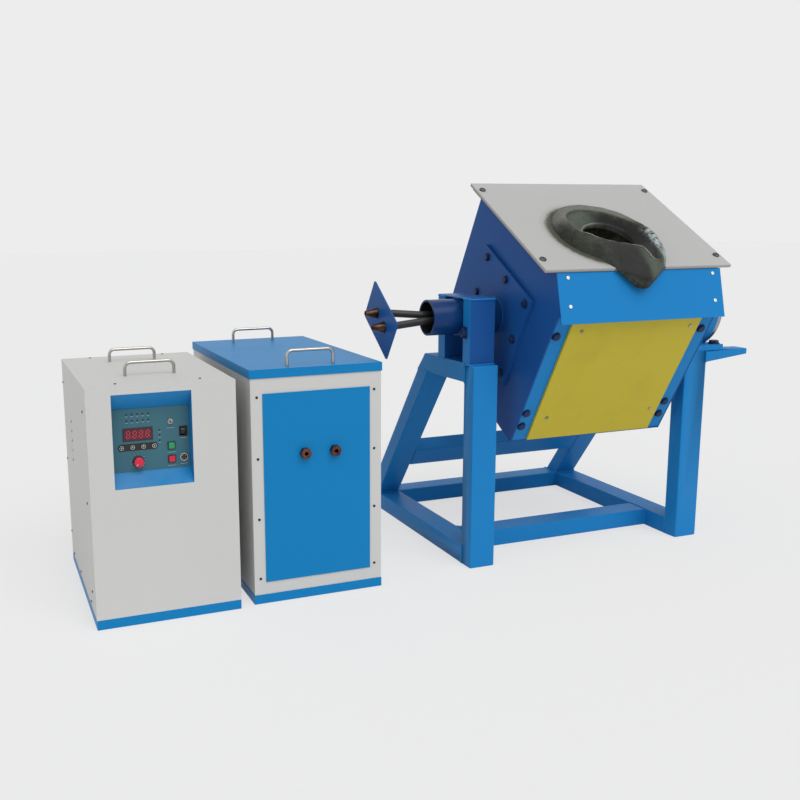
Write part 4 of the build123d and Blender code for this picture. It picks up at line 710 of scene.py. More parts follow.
def scatter_tree():
    """Geometry nodes: one fastener on every point, along its 'stand' direction, each turned at random."""
    tree, source, sink = geometry_tree("fastener_rows", [
        ("Points", "NodeSocketGeometry"), ("Fastener", "NodeSocketObject"), ("Finish", "NodeSocketMaterial"),
        ("Seed", "NodeSocketInt"), ("Swing", "NodeSocketFloat")])
    given = source.outputs
    stand = add_node(tree, "GeometryNodeInputNamedAttribute", {"Name": "stand"}, data_type="FLOAT_VECTOR")
    align = add_node(tree, "FunctionNodeAlignRotationToVector", {"Vector": stand.outputs["Attribute"]},
                     axis="Z")
    chance = add_node(tree, "FunctionNodeRandomValue", {2: 0.0, 3: given["Swing"], "Seed": given["Seed"]},
                      data_type="FLOAT")
    spin = add_node(tree, "FunctionNodeAxisAngleToRotation", {"Axis": (0, 0, 1), "Angle": chance.outputs[1]})
    turned = add_node(tree, "FunctionNodeRotateRotation", {0: align.outputs[0], 1: spin.outputs[0]},
                      rotation_space="LOCAL")
    info = add_node(tree, "GeometryNodeObjectInfo", {"As Instance": True, "Object": given["Fastener"]})
    spread = add_node(tree, "GeometryNodeInstanceOnPoints",
                      {"Points": given["Points"], "Instance": info.outputs["Geometry"],
                       "Rotation": turned.outputs[0]})
    end_tree(tree, spread.outputs[0], source, sink)
    return tree


def bead_tree():
    """Geometry nodes: a rippled weld bead along every edge of a path mesh."""
    tree, source, sink = geometry_tree("weld_beads", [
        ("Path", "NodeSocketGeometry"), ("Bead", "NodeSocketFloat"), ("Ripple", "NodeSocketFloat"),
        ("Pitch", "NodeSocketFloat"), ("Finish", "NodeSocketMaterial")])
    given = source.outputs
    curve = add_node(tree, "GeometryNodeMeshToCurve", {0: given["Path"]})
    steps = add_node(tree, "GeometryNodeResampleCurve", {"Curve": curve.outputs[0], "Length": given["Pitch"]},
                     mode="LENGTH")
    lumps = add_node(tree, "ShaderNodeTexNoise", {"Scale": 260.0, "Detail": 1.0})
    swell = add_node(tree, "ShaderNodeMath", {0: lumps.outputs["Fac"], 1: given["Ripple"], 2: 0.6},
                     operation="MULTIPLY_ADD")
    profile = add_node(tree, "GeometryNodeCurvePrimitiveCircle", {"Resolution": 8, "Radius": given["Bead"]})
    thick = add_node(tree, "GeometryNodeSetCurveRadius",
                     {"Curve": steps.outputs[0], "Radius": swell.outputs[0]})
    tube = add_node(tree, "GeometryNodeCurveToMesh",
                    {"Curve": thick.outputs[0], "Profile Curve": profile.outputs[0],
                     "Scale": swell.outputs[0], "Fill Caps": True})
    end_tree(tree, tube.outputs[0], source, sink)
    return tree


def set_input(modifier, label, value):
    """Set an input of a geometry tree by its label."""
    items = modifier.node_group.interface.items_tree
    socket = next(item for item in items if item.in_out == "INPUT" and item.name == label)
    modifier[socket.identifier] = value


def grow(obj, tree, **values):
    """Run a geometry tree on an object and keep the result as its plain mesh."""
    modifier = obj.modifiers.new("grow", "NODES")
    modifier.node_group = tree
    for label, value in values.items():
        set_input(modifier, label.capitalize(), value)
    bpy.context.view_layer.update()
    evaluated = obj.evaluated_get(bpy.context.evaluated_depsgraph_get())
    mesh = bpy.data.meshes.new_from_object(evaluated)
    obj.modifiers.remove(modifier)
    return mesh


def fastener_rows(name, head, rows, finish, swing=2.0):
    """Mesh of fasteners: rows are (matrix, point, direction) in a unit's own millimetres."""
    prototype_mesh = mesh_from(head, name + "_head", Matrix.Scale(MM, 4))
    smooth_mesh(prototype_mesh, 32.0)
    prototype = add_object(name + "_head", prototype_mesh)
    points = bpy.data.meshes.new(name + "_points")
    points.from_pydata([row[0] @ Vector(row[1]) for row in rows], [], [])
    stand = points.attributes.new("stand", "FLOAT_VECTOR", "POINT")
    for value, row in zip(stand.data, rows):
        value.vector = (row[0].to_3x3() @ Vector(row[2])).normalized()
    carrier = add_object(name + "_points", points)
    tree = bpy.data.node_groups.get("fastener_rows") or scatter_tree()
    mesh = grow(carrier, tree, fastener=prototype, finish=FINISH[finish], seed=len(rows), swing=swing)
    for spare in (carrier, prototype):
        bpy.data.objects.remove(spare)
    mesh.name = name
    return mesh


def joined(meshes, node):
    """One finished piece, in place of a node, out of several meshes that keep their own finishes."""
    bm = bmesh.new()
    materials = []
    for mesh in meshes:
        start = len(bm.faces)
        bm.from_mesh(mesh)
        bm.faces.ensure_lookup_table()
        for face in bm.faces[start:]:
            material = mesh.materials[face.material_index]
            if material not in materials:
                materials.append(material)
            face.material_index = materials.index(material)
    result = mesh_from(bm, node + "_finished")
    smooth_mesh(result, 32.0)
    for material in materials:
        result.materials.append(material)
    return finish_piece(node + "_finished", result, node)


# ================================================================ cabinets
def power_screw_rows():
    """Screws on the power cabinet's top, on both of its sides and round the fan."""
    w, d, h = POWER_SIZE
    inset, front, rear = COVER_SCREW["inset"], COVER_SCREW["front"], d - COVER_SCREW["rear"]
    rows = [(POWER, (x, y, h), (0, 0, 1)) for y in (front, rear) for x in (inset, w - inset)]
    side = [(SIDE_SCREW["front"], z) for z in SIDE_SCREW["z"]] + [(rear, z) for z in SIDE_SCREW["rear_z"]]
    side += [(y, BASE_HEIGHT + SIDE_SCREW["tray"]) for y in (100.0, d * 0.6, d - 60.0)]
    for y, z in side:
        rows.append((POWER, (0, y, z), (-1, 0, 0)))
        rows.append((POWER, (w, y, z), (1, 0, 0)))
    pitch = FAN["half_pitch"]
    for x in (FAN["x"] - pitch, FAN["x"] + pitch):
        for z in (FAN["z"] - pitch, FAN["z"] + pitch):
            rows.append((POWER, (x, d, z), (0, 1, 0)))
    return rows


def bank_screw_rows():
    """Screws of the capacitor cabinet's front panel, sunk a little into its face."""
    front = (low("cap_front_panel").y - low("cap_base_tray").y) / MM + 2.5
    return [(BANK, (x, front, z), (0, -1, 0)) for x in PANEL_SCREW["x"] for z in PANEL_SCREW["z"]]


def block_mesh(bm, x0, x1, y0, y1, z0, z1):
    """Add a box between two corners; returns its faces."""
    corners = [bm.verts.new((x, y, z)) for z in (z0, z1) for y in (y0, y1) for x in (x0, x1)]
    faces = []
    for ids in ((0, 2, 3, 1), (4, 5, 7, 6), (0, 1, 5, 4), (2, 6, 7, 3), (0, 4, 6, 2), (1, 3, 7, 5)):
        faces.append(bm.faces.new([corners[i] for i in ids]))
    return faces


PRINT = 0.12                # how far printed marks stand off the control plate
SLANT = 0.10                # of the meter's figures
SEGMENTS = ((0, 1, "level"), (1, 0.5, "upright"), (1, -0.5, "upright"), (0, -1, "level"),
            (-1, -0.5, "upright"), (-1, 0.5, "upright"), (0, 0, "level"))


def digit_bars(bm, x, y, z, width, height, bar):
    """Seven slanted bars of one figure, as thin bodies on the window."""
    for sx, sz, way in SEGMENTS:
        cx = x + sx * width / 2
        cz = z + sz * height / 2
        half = (width / 2 - bar * 0.75, bar / 2) if way == "level" else (bar / 2, height / 4 - bar * 0.75)
        faces = block_mesh(bm, cx - half[0], cx + half[0], y - 0.15, y, cz - half[1], cz + half[1])
        for vert in {v for face in faces for v in face.verts}:
            vert.co.x += (vert.co.z - z) * SLANT


def control_face():
    """Printed marks, meter figures and lamp lenses on the control plate."""
    y = RECESS_DEPTH
    window = bmesh.new()
    x, z, w, h = DISPLAY.values()
    block_mesh(window, x - w / 2 - 2, x + w / 2 + 2, y - 1.4, y + 6, z - h / 2 - 2, z + h / 2 + 2)
    round_edges(window, 0.6)
    frame_mesh = finished_mesh(window, "meter_frame", "black_plastic", POWER)
    glass = bmesh.new()
    block_mesh(glass, x - w / 2, x + w / 2, y - 1.7, y - 1.2, z - h / 2, z + h / 2)
    glass_mesh = finished_mesh(glass, "meter_glass", "lamp_lens", POWER)
    figures = bmesh.new()
    for i in range(4):
        right = i * 15.0
        digit_bars(figures, x - 22.5 + right, y - 1.7, z, 7.6, 16.5, 1.9)
        block_mesh(figures, x - 16.6 + right, x - 15.0 + right, y - 1.85, y - 1.7, z - 9.0, z - 7.4)
    figure_mesh = finished_mesh(figures, "meter_figures", "lit_segment", POWER)
    r = LAMPS["radius"]
    lens = spun_profile([(0, r), (0.6 * r, 0.9 * r), (0.95 * r, 0.5 * r), (r, 0), (r, -2 * r),
                         (0, -2 * r)], 20)
    rows = [(LAMPS["first"] + i * LAMPS["pitch"], z) for z in LAMPS["rows"] for i in range(5)]
    rows += [(STATUS["x"], z) for z in STATUS["z"]]
    places = [(POWER, (x, y, z), (0, -1, 0)) for x, z in rows]
    lenses = fastener_rows("lamp_lenses", lens, places, "dark_lens", 0.0)
    joined([frame_mesh, glass_mesh, figure_mesh, lenses], "psu_display")

    marks = bmesh.new()
    for lx, lz in rows:
        block_mesh(marks, lx - 3.0, lx + 3.0, y - PRINT, y, lz - 5.4, lz - 4.6)
    for i in range(11):
        turn = math.radians(-135 + 27 * i)
        tick = block_mesh(marks, -0.35, 0.35, y - PRINT, y, 0, 2.6)
        move = (Matrix.Translation((KNOB["x"], 0, KNOB["z"])) @ Matrix.Rotation(turn, 4, "Y")
                @ Matrix.Translation((0, 0, KNOB["radius"] + 2.5)))
        bmesh.ops.transform(marks, matrix=move, verts=list({v for f in tick for v in f.verts}))
    for cx, cz, half in ((*TOGGLE, 9.0), (*START, 10.0), (*STOP, 10.0), (*ROCKER, 8.0), (*SOCKET, 8.0)):
        block_mesh(marks, cx - half, cx + half, y - PRINT, y, cz - 16.6, cz - 15.9)
    mesh = mesh_from(marks, "panel_marks", POWER)
    finish_piece("panel_marks", mesh, finish="legend", body="stand")


def key_strip():
    """Dark strip under the four keys."""
    y = RECESS_DEPTH
    strip = bmesh.new()
    steps = 16
    thickness = 0.3
    half = KEY["radius"] + 3.4
    outline = []
    for x, side in ((KEY["first"], -1), (KEY["first"] + 3 * KEY["pitch"], 1)):
        for i in range(steps + 1):
            turn = math.pi * i / steps
            outline.append((x + side * half * math.sin(turn), KEY["z"] - side * half * math.cos(turn)))
    face = strip.faces.new([strip.verts.new((x, y - thickness, z)) for x, z in outline])
    grown = bmesh.ops.extrude_face_region(strip, geom=[face])["geom"]
    far = [item for item in grown if isinstance(item, bmesh.types.BMVert)]
    bmesh.ops.translate(strip, vec=(0, thickness, 0), verts=far)
    bmesh.ops.recalc_face_normals(strip, faces=strip.faces)
    mesh = mesh_from(strip, "key_strip", POWER)
    finish_piece("key_strip", mesh, finish="black_plastic", body="stand")


def on_panel(x, y, z):
    """Matrix of a round panel part whose own axis points out of the panel."""
    return POWER @ Matrix.Translation((x, y, z)) @ Matrix.Rotation(math.pi / 2, 4, "X")


def key_caps():
    """Four round keys: dark caps with a pale ring and a plain arrow each."""
    r = KEY["radius"]
    for i in range(4):
        place = on_panel(KEY["first"] + i * KEY["pitch"], RECESS_DEPTH, KEY["z"])
        cap = spun_profile([(0, 3.2), (r * 0.7, 3.15), (r * 0.92, 2.9), (r, 2.4), (r, -3.8), (0, -3.8)], 40)
        ring = spun_profile([(r * 0.80, 3.0), (r * 0.80, 3.35), (r * 0.97, 3.2), (r * 0.97, 2.6),
                             (r * 0.80, 3.0)], 40)
        arrow = bmesh.new()
        turn = i * math.pi / 2
        low_ring = [arrow.verts.new(point) for point in circle_points(2.2, 3.15, 3, turn)]
        top_ring = [arrow.verts.new(point) for point in circle_points(2.2, 3.3, 3, turn)]
        arrow.faces.new(top_ring)
        arrow.faces.new(list(reversed(low_ring)))
        skin(arrow, [low_ring, top_ring])
        cap_mesh = finished_mesh(cap, "key_cap", "black_plastic", place)
        ring_mesh = finished_mesh(ring, "key_ring", "white_plastic", place)
        arrow_mesh = finished_mesh(arrow, "key_arrow", "white_plastic", place)
        joined([cap_mesh, ring_mesh, arrow_mesh], f"psu_key_{i + 1}")


def power_knob():
    """Black fluted skirt with a red crown and a white pointer line."""
    r, depth = KNOB["radius"], KNOB["depth"]
    place = on_panel(KNOB["x"], RECESS_DEPTH - 0.3, KNOB["z"])
    skirt = bmesh.new()
    steps = 72
    loops = []
    waist = depth * 0.50
    for share, z in ((0.97, 0.0), (1.0, 1.0), (1.0, depth * 0.42), (0.93, waist), (0.80, waist)):
        loop = []
        for i in range(steps):
            turn = 2 * math.pi * i / steps
            flute = 0.35 * (0.5 + 0.5 * math.cos(turn * 18)) if share > 0.9 else 0.0
            reach = r * share - flute
            loop.append(skirt.verts.new((reach * math.cos(turn), reach * math.sin(turn), z)))
        loops.append(loop)
    skin(skirt, loops)
    skirt.faces.new(list(reversed(loops[0])))
    skirt.faces.new(loops[-1])
    crown = spun_profile([(0, depth), (r * 0.60, depth - 0.3), (r * 0.82, depth - 1.6),
                          (r * 0.88, depth - 3.5), (r * 0.88, waist), (0, waist)], 48)
    pointer = bmesh.new()
    block_mesh(pointer, -0.5, 0.5, r * 0.30, r * 0.72, depth - 0.6, depth + 0.02)
    turned = place @ Matrix.Rotation(math.radians(135), 4, "Z")
    skirt_mesh = finished_mesh(skirt, "knob_skirt", "black_plastic", place)
    crown_mesh = finished_mesh(crown, "knob_crown", "red_button", place)
    pointer_mesh = finished_mesh(pointer, "knob_pointer", "white_plastic", turned)
    joined([skirt_mesh, crown_mesh, pointer_mesh], "psu_power_knob")


def near(point, spot, reach):
    """Whether a point of the shared frame is beside a spot of the control plate."""
    local = POWER.inverted() @ point
    return abs(local.x - spot[0]) < reach and abs(local.z - spot[1]) < reach


def power_cabinet():
    """Sheets, recessed panel with its parts, handles, screws and the parts inside."""
    edge = settings().sheet_edge
    for node in ("psu_base_tray", "psu_front_panel", "psu_cover", "psu_rear_panel"):
        dress(node, edge * 0.6)
    dress("psu_panel_recess", edge * 0.5, least_degrees=45.0, finish="recess_paint")
    dress("psu_control_plate", 0.0003)
    fittings = dress("psu_panel_fittings", 0.0004)
    paint_faces(fittings, "bright_steel", lambda c, n: near(c, TOGGLE, 9) or near(c, SOCKET, 11))
    socket_mouth = (RECESS_DEPTH - 1.5) * MM + low("psu_base_tray").y
    paint_faces(fittings, "black_plastic", lambda c, n: near(c, SOCKET, 7) and c.y > socket_mouth)
    for node in ("psu_start_button", "psu_stop_button", "psu_rocker_switch"):
        dress(node, 0.0006)
    dress("psu_mode_toggle", finish="bright_steel")
    dress("psu_handles")
    control_face()
    key_strip()
    key_caps()
    power_knob()
    heads = fastener_rows("psu_screw_heads", screw_head(*SHEET_SCREW), power_screw_rows(), "black_screw")
    joined([heads], "psu_screws")
    for node in ("psu_inverter", "psu_control_board", "psu_fan_frame", "psu_fan_rotor"):
        dress(node)


def capacitor_cabinet():
    """Sheets, handles, terminals, screws and the parts inside."""
    edge = settings().sheet_edge
    for node in ("cap_base_tray", "cap_shell", "cap_lid"):
        dress(node, edge)
    dress("cap_front_panel", edge * 0.7)
    dress("cap_handles")
    dress("cap_terminals", 0.0006)
    heads = fastener_rows("cap_screw_heads", screw_head(*SHEET_SCREW), bank_screw_rows(), "black_screw")
    joined([heads], "cap_screws")
    for node in ("cap_transformer", "cap_capacitors"):
        dress(node)


# ================================================================ furnace frame
def closed(corners):
    """Path through the corners and back to the first one."""
    return corners + corners[:1]


def weld_paths():
    """Seams of the welded frame, as loops of points in the furnace's own millimetres."""
    width, length, height = FRAME_SIZE
    tube_w, tube_h = TUBE
    floor = 0.5
    slope = (LEG["foot"] - LEG["top"]) / (height - tube_h)
    run = tube_h * math.sqrt(1 + slope ** 2)
    low_top = height - tube_h
    paths = []
    for x0 in (0.0, width - tube_w):
        x1 = x0 + tube_w
        y = tube_h
        paths.append(closed([(x0, y, low_top), (x1, y, low_top), (x1, y, height), (x0, y, height)]))
        paths.append([(x0, y, floor), (x0, y, tube_h), (x1, y, tube_h), (x1, y, floor)])
        for rear, z in ((LEG["top"] + tube_h * slope, low_top), (LEG["foot"], tube_h)):
            paths.append(closed([(x0, rear - run, z), (x0, rear, z), (x1, rear, z), (x1, rear - run, z)]))
    for y0 in (CROSS_TUBE, length - tube_w):
        y1 = y0 + tube_w
        for x in (tube_w, width - tube_w):
            paths.append([(x, y0, floor), (x, y0, tube_h), (x, y1, tube_h), (x, y1, floor)])
    for y0, y1 in UPRIGHTS["y"]:
        for z in (height, height + UPRIGHTS["height"]):
            paths.append(closed([(0, y0, z), (tube_w, y0, z), (tube_w, y1, z), (0, y1, z)]))
    for y0 in BRACKETS["y"]:
        paths.append([(width, y0, height - BRACKETS["drop"]), (width, y0, height),
                      (width, y0 + BRACKETS["width"], height)])
    return paths


def beads(name, paths, matrix, finish, body):
    """Weld beads along paths, as one finished piece."""
    verts, edges = [], []
    for path in paths:
        start = len(verts)
        is_loop = path[0] == path[-1]
        points = path[:-1] if is_loop else path
        verts += [matrix @ Vector(p) for p in points]
        edges += [(start + i, start + i + 1) for i in range(len(points) - 1)]
        if is_loop:
            edges.append((start + len(points) - 1, start))
    lines = bpy.data.meshes.new(name + "_lines")
    lines.from_pydata(verts, edges, [])
    carrier = add_object(name + "_lines", lines)
    tree = bpy.data.node_groups.get("weld_beads") or bead_tree()
    mesh = grow(carrier, tree, bead=settings().weld_bead, ripple=0.8, pitch=0.004, finish=FINISH[finish])
    bpy.data.objects.remove(carrier)
    smooth_mesh(mesh, 60.0)
    return finish_piece(name, mesh, finish=finish, body=body)


def stand_frame():
    """Trestles, cross tubes, pedestal, bearing and the welds between them."""
    edge = settings().tube_edge
    for node in ("left_trestle", "right_trestle", "cross_tubes"):
        dress(node, edge, segments=3)
    pedestal = dress("left_pedestal", 0.0012)
    under_tube = STAND.translation.z + PIVOT.z - 0.020
    outer_face = STAND.translation.x - 0.0001
    # Painted shade: every pedestal face except those facing -X takes the darker body enamel, so only its left side
    # keeps the lighter frame enamel.
    paint_faces(pedestal, "body_paint", lambda c, n: n.x > -0.7)
    paint_faces(pedestal, "bolt_paint", lambda c, n: c.x < outer_face and c.z < under_tube)
    paint_faces(dress("left_bearing", 0.0008), "body_paint", lambda c, n: True)
    beads("frame_weld_beads", weld_paths(), STAND, "frame_paint", "stand")


def drive():
    """Gearbox, its foot bolts, shaft and handwheel."""
    bm = merged_copy("gearbox_housing")
    face_x = STAND.translation.x + GEARBOX["right"] * MM
    machined_depth = 0.012
    bmesh.ops.bisect_plane(bm, geom=bm.verts[:] + bm.edges[:] + bm.faces[:], dist=1e-6,
                           plane_co=(face_x - machined_depth, 0, 0), plane_no=(1, 0, 0))
    round_edges(bm, 0.0012)
    mesh = mesh_from(bm, "gearbox_finished")
    smooth_mesh(mesh)
    case = finish_piece("gearbox_finished", mesh, "gearbox_housing", "frame_paint")
    foot_top = FRAME_SIZE[2] + GEAR_FOOT["thickness"]

    def machined(c, n):
        reach = math.hypot(c.y - PIVOT.y, c.z - PIVOT.z)
        return (c.x > face_x - machined_depth + 0.0001 and reach > (GEARBOX["radius"] - 8.0) * MM
                and c.z > (foot_top + 1.0) * MM)
    paint_faces(case, "brushed_steel", machined)
    weighted_normals(case)
    ring = circle_points(GEARBOX["cover_bolts"], GEARBOX["right"], 8, math.radians(22.5))
    rows = [(AXLE, (x, y, z), (1, 0, 0)) for y, z, x in ring]
    cover = fastener_rows("gearbox_cover_bolts", hex_head(*COVER_BOLT), rows, "zinc_screw")
    finish_piece("gearbox_cover_bolts", cover, finish="zinc_screw", body="stand")
    feet = [(STAND, (x, y, foot_top), (0, 0, 1)) for x in GEAR_FOOT["x"] for y in GEAR_FOOT["y"]]
    bolts = fastener_rows("gearbox_foot_bolts", hex_head(*FOOT_BOLT), feet, "bolt_paint", 0.3)
    keeper = [(STAND, KEEPER_BOLT, (-1, 0, 0))]
    keeper_bolt = fastener_rows("keeper_bolt", hex_head(*BARE_BOLT), keeper, "bolt_paint", 0.3)
    joined([bolts, keeper_bolt], "frame_bolts")
    dress("worm_wheel", 0.0004)
    dress("worm_shaft", 0.0005)
    dress("handwheel", 0.0006, least_degrees=50.0)
    dress("handwheel_grip")


# ================================================================ tilting body
def body_walls():
    """Plates, corner angles, apron and boards of the tilting body."""
    edge = settings().sheet_edge
    for node in ("body_side_plates", "body_bottom_plate"):
        dress(node, edge, finish="body_paint")
    dress("body_corner_angles", edge, finish="frame_paint")
    dress("body_apron", edge * 0.7, finish="frame_paint")
    dress("body_top_plate", edge * 0.9, finish="top_plate")
    dress("insulating_boards", edge * 0.6)


def body_fastener_rows():
    """Places of the body's bolts, its deck screws, its apron screws and its board screws."""
    reach = FLANGE["reach"]
    left, right = BODY_SPAN[0] - FLANGE["thickness"], BODY_SPAN[1] + FLANGE["thickness"]
    bolts, apron, boards = [], [], []
    for u in (-reach, 0.0, reach):
        for w in (-reach, 0.0, reach):
            if (u, w) != (0.0, 0.0):
                bolts += [(BODY, (left, u, w), (-1, 0, 0)), (BODY, (right, u, w), (1, 0, 0))]
    for group, spots, stand_off in ((bolts, ANGLE_BOLTS, 0.0), (boards, BOARD_SCREWS, BOARD_THICKNESS)):
        for x in spots["x"]:
            for w in spots["w"]:
                group.append((BODY, (x, BODY_FRONT - stand_off, w), (0, -1, 0)))
                group.append((BODY, (x, BODY_BACK + stand_off, w), (0, 1, 0)))
    pitch = DECK_SCREWS["half_pitch"]
    deck = [(BODY, (x, u, DECK), (0, 0, 1)) for x in (BODY_MIDDLE - pitch, BODY_MIDDLE + pitch)
            for u in DECK_SCREWS["u"]]
    out = Vector((0, -CHAMFER[1], CHAMFER[0])).normalized()
    for x in APRON_SCREWS["x"]:
        for share in APRON_SCREWS["share"]:
            seat = Vector((x, BODY_FRONT + CHAMFER[0] * (1 - share), BODY_TOP - CHAMFER[1] * share))
            apron.append((BODY, seat + out * APRON_THICKNESS, out))
    return bolts, deck, apron, boards


def body_fasteners():
    """Bolts, deck screws, apron screws and board screws as one piece."""
    bolts, deck, apron, boards = body_fastener_rows()
    meshes = [
        fastener_rows("body_bolts", hex_head(*BODY_BOLT), bolts, "bolt_paint"),
        fastener_rows("top_plate_screws", screw_head(*DECK_SCREW), deck, "dark_screw"),
        fastener_rows("apron_screws", screw_head(*SMALL_SCREW), apron, "white_screw"),
        fastener_rows("board_screws", screw_head(*SMALL_SCREW), boards, "zinc_screw"),
    ]
    joined(meshes, "body_fasteners")


def trunnions():
    """Hollow trunnion with its lining, the shaft, the leads and the parts round the crucible."""
    tube = dress("trunnion_tube", 0.0012, finish="tube_paint")
    bore_low, bore_high = (radius * MM for radius in TRUNNION["bore"])

    def lined(c, n):
        outward = Vector((0, c.y - PIVOT.y, c.z - PIVOT.z))
        return bore_low < outward.length < bore_high and n.dot(outward.normalized()) < -0.7
    paint_faces(tube, "black_rubber", lined)
    face = BODY_SPAN[0] - FLANGE["thickness"]
    wall = STAND.translation.x + (face - 0.5) * MM
    paint_faces(tube, "body_paint", lambda c, n: c.x > wall)
    dress("trunnion_shaft", 0.0010)
    dress("lead_sleeves")
    dress("terminal_plate", 0.0008, finish="plate_paint")
    dress("terminal_studs", 0.0006, finish="dark_copper")
    ring = [(x, y, z) for y, z, x in circle_points(TRUNNION["seam"], face, 32)]
    beads("trunnion_weld_bead", [closed(ring)], BODY, "body_paint", "tilting_body")
    for node in ("crucible", "refractory_lining", "induction_coil"):
        dress(node)


# ---------------------------------------------------------------- pouring mouth
# Edges of the rammed mouth square to the plate, as (x, u) in the body's millimetres.
MOUTH_EDGE = [(257, -46), (258, -2), (276, 42), (312, 64), (354, 66), (394, 55), (426, 38), (450, 12),
              (467, -22), (475, -58), (464, -102), (448, -146), (431, -184), (422, -190), (412, -184),
              (411, -158), (402, -138), (376, -126), (355, -118), (333, -112), (309, -99), (284, -77)]
FOOT_EDGE = [(224, -22), (227, -60), (249, -106), (284, -145), (303, -184), (324, -205), (346, -221),
             (374, -237), (402, -228), (436, -203), (462, -182), (492, -138), (510, -84), (514, -22),
             (500, 40), (468, 86), (424, 116), (368, 128), (314, 119), (268, 90), (239, 48), (226, 12)]
DROOP = ((303, 322, 341, 356, 390, 403, 439, 458), (0, 15, 25, 36, 36, 25, 15, 0))   # below the plate, by x
THROAT_R = 72.0
BACK_SHARE = 0.76             # height of the crest at the back, as a share of the full one
NOTCH_DROP = 7.0
THROAT_DROP = 3.0             # how far the funnel ends below the plate
WALL_DEPTH = 15.0
FLANK_POWER = 2.3
LUMP_HEIGHT = 1.3
LUMP_PITCH = 0.05
UNDERSIDE_R = 117.0           # the mouth is hollow under the plate out to here
NECK = 15.0                   # and reaches this far below it
APRON_SLOPE = CHAMFER[0] / CHAMFER[1]


def smooth_ring(corners, steps=8):
    """Closed curve through the corners, as an array of points."""
    points = np.array(corners, dtype=float)
    a, b, c, d = (np.roll(points, k, axis=0)[:, None, :] for k in (1, 0, -1, -2))
    t = np.linspace(0.0, 1.0, steps, endpoint=False)[None, :, None]
    curve = b + 0.5 * t * (c - a + t * (2 * a - 5 * b + 4 * c - d + t * (3 * (b - c) + d - a)))
    return curve.reshape(-1, 2)


def away_from(ring, spots):
    """Distance of every spot from a closed curve, negative outside it."""
    start, end = ring[None], np.roll(ring, -1, axis=0)[None]
    run, reach = end - start, spots[:, None, :] - start
    share = np.clip((reach * run).sum(2) / (run ** 2).sum(2), 0.0, 1.0)
    gap = np.linalg.norm(reach - run * share[..., None], axis=2).min(axis=1)
    spans = (start[..., 1] > spots[:, None, 1]) != (end[..., 1] > spots[:, None, 1])
    rise = np.where(run[..., 1] == 0, 1e-9, run[..., 1])
    crossing = start[..., 0] + (spots[:, None, 1] - start[..., 1]) * run[..., 0] / rise
    within = (spans & (crossing > spots[:, None, 0])).sum(axis=1) % 2 == 1
    return np.where(within, gap, -gap)


def step_up(value, low_value, high_value):
    """Smooth step from 0 to 1, on numbers or arrays."""
    share = np.clip((value - low_value) / (high_value - low_value), 0.0, 1.0)
    return share * share * (3 - 2 * share)


def crest_height(u, height):
    """Height of the crest: low at the back, full beside the spout, dipping at the spout's notch."""
    rise = BACK_SHARE + (1 - BACK_SHARE) * step_up(-u, -40.0, 90.0)
    return height * rise - NOTCH_DROP * step_up(-u, 138.0, 188.0)


def mouth_height(depth, rest, from_throat, top):
    """Height over the plate: a flank outside the crest, a wall inside it, then a funnel to the throat."""
    outward = np.maximum(-depth, 0.0)
    share = outward / np.maximum(outward + rest, 1e-6)
    flank = top * (1 - share ** FLANK_POWER)
    inward = (depth + np.sqrt(depth ** 2 + 6.0)) / 2
    floor = top + THROAT_DROP
    funnel = floor * (inward / (inward + from_throat + 1e-6)) ** 0.9
    wall = WALL_DEPTH * (1 - np.exp(-inward / 8.0))
    return flank - np.where(depth > -6.0, np.maximum(np.minimum(wall, floor), funnel), 0.0), share


def mouth_masks(x, u, depth, share, from_throat):
    """Where the crest is worn pale, chalky, ashen, glazed or burnt; depth is inward of the crest."""
    near_side = step_up(-u, 44.0, 64.0) * step_up(-x, -422.0, -412.0)
    line = np.exp(-((depth + 2.6) / 2.2) ** 2) * near_side
    lip = 0.6 * np.exp(-((from_throat - 1.5) / 1.6) ** 2) * step_up(u, -20.0, 6.0)
    right = step_up(x, 440.0, 456.0) * step_up(-u, 28.0, 60.0) * step_up(u, -200.0, -176.0)
    chalk = right * step_up(depth, -34.0, -20.0) * step_up(-depth, -14.0, -6.0)
    ash = step_up(depth, -38.0, -26.0) * step_up(-depth, -3.0, 2.0) * step_up(u, -30.0, 30.0)
    # painted shade, with some char, on the inner wall at the right, which faces away from the light
    shade = step_up(x + 0.35 * u, 366.0, 420.0) * step_up(depth, 2.0, 10.0)
    slot = step_up(depth, 1.0, 5.0) * step_up(-u, 96.0, 124.0)
    outside = step_up(-depth, 4.0, 14.0)
    # char and painted shade on the spout's left flank, round x = 346
    burnt_and_shaded = 0.95 * step_up(-u, 100.0, 150.0) * step_up(-np.abs(x - 346.0), -48.0, -24.0) * outside
    skirt = 0.55 * step_up(share, 0.25, 0.75) * step_up(-u, -40.0, 20.0) * step_up(-x, -400.0, -350.0)
    # painted highlight on the spout's right front
    sheen = step_up(x, 376.0, 398.0) * step_up(-u, 140.0, 185.0) * outside
    # glaze, and painted light on the inner wall at the left and back
    glaze_and_painted_light = np.maximum(step_up(depth, 0.0, 6.0) * step_up(-x - 0.4 * u, -420.0, -360.0), sheen)
    return {"crest": np.maximum(line, lip), "chalk": chalk, "ash": ash, "glaze_and_painted_light": glaze_and_painted_light,
            "char_and_shade": np.maximum.reduce((shade, slot, burnt_and_shaded, skirt))}


def mouth_fields(spots, foot_ring, height):
    """Height over the plate and the paint masks for an array of (x, u) spots."""
    x, u = spots[:, 0], spots[:, 1]
    depth = away_from(smooth_ring(MOUTH_EDGE), spots)
    rest = np.maximum(away_from(foot_ring, spots), 0.0)
    from_throat = np.maximum(np.hypot(x - POT[0], u - POT[1]) - THROAT_R, 0.0)
    z, share = mouth_height(depth, rest, from_throat, crest_height(u, height))
    return z, mouth_masks(x, u, depth, share, from_throat)


def mouth_turns(count):
    """Directions of the rays, closer together over the spout's channel; 0 points out of the spout."""
    fine = np.radians(np.linspace(6.0, 40.0, count // 3))
    coarse = np.radians(np.linspace(40.0, 366.0, count - count // 3, endpoint=False))[1:]
    return np.concatenate((fine, coarse))


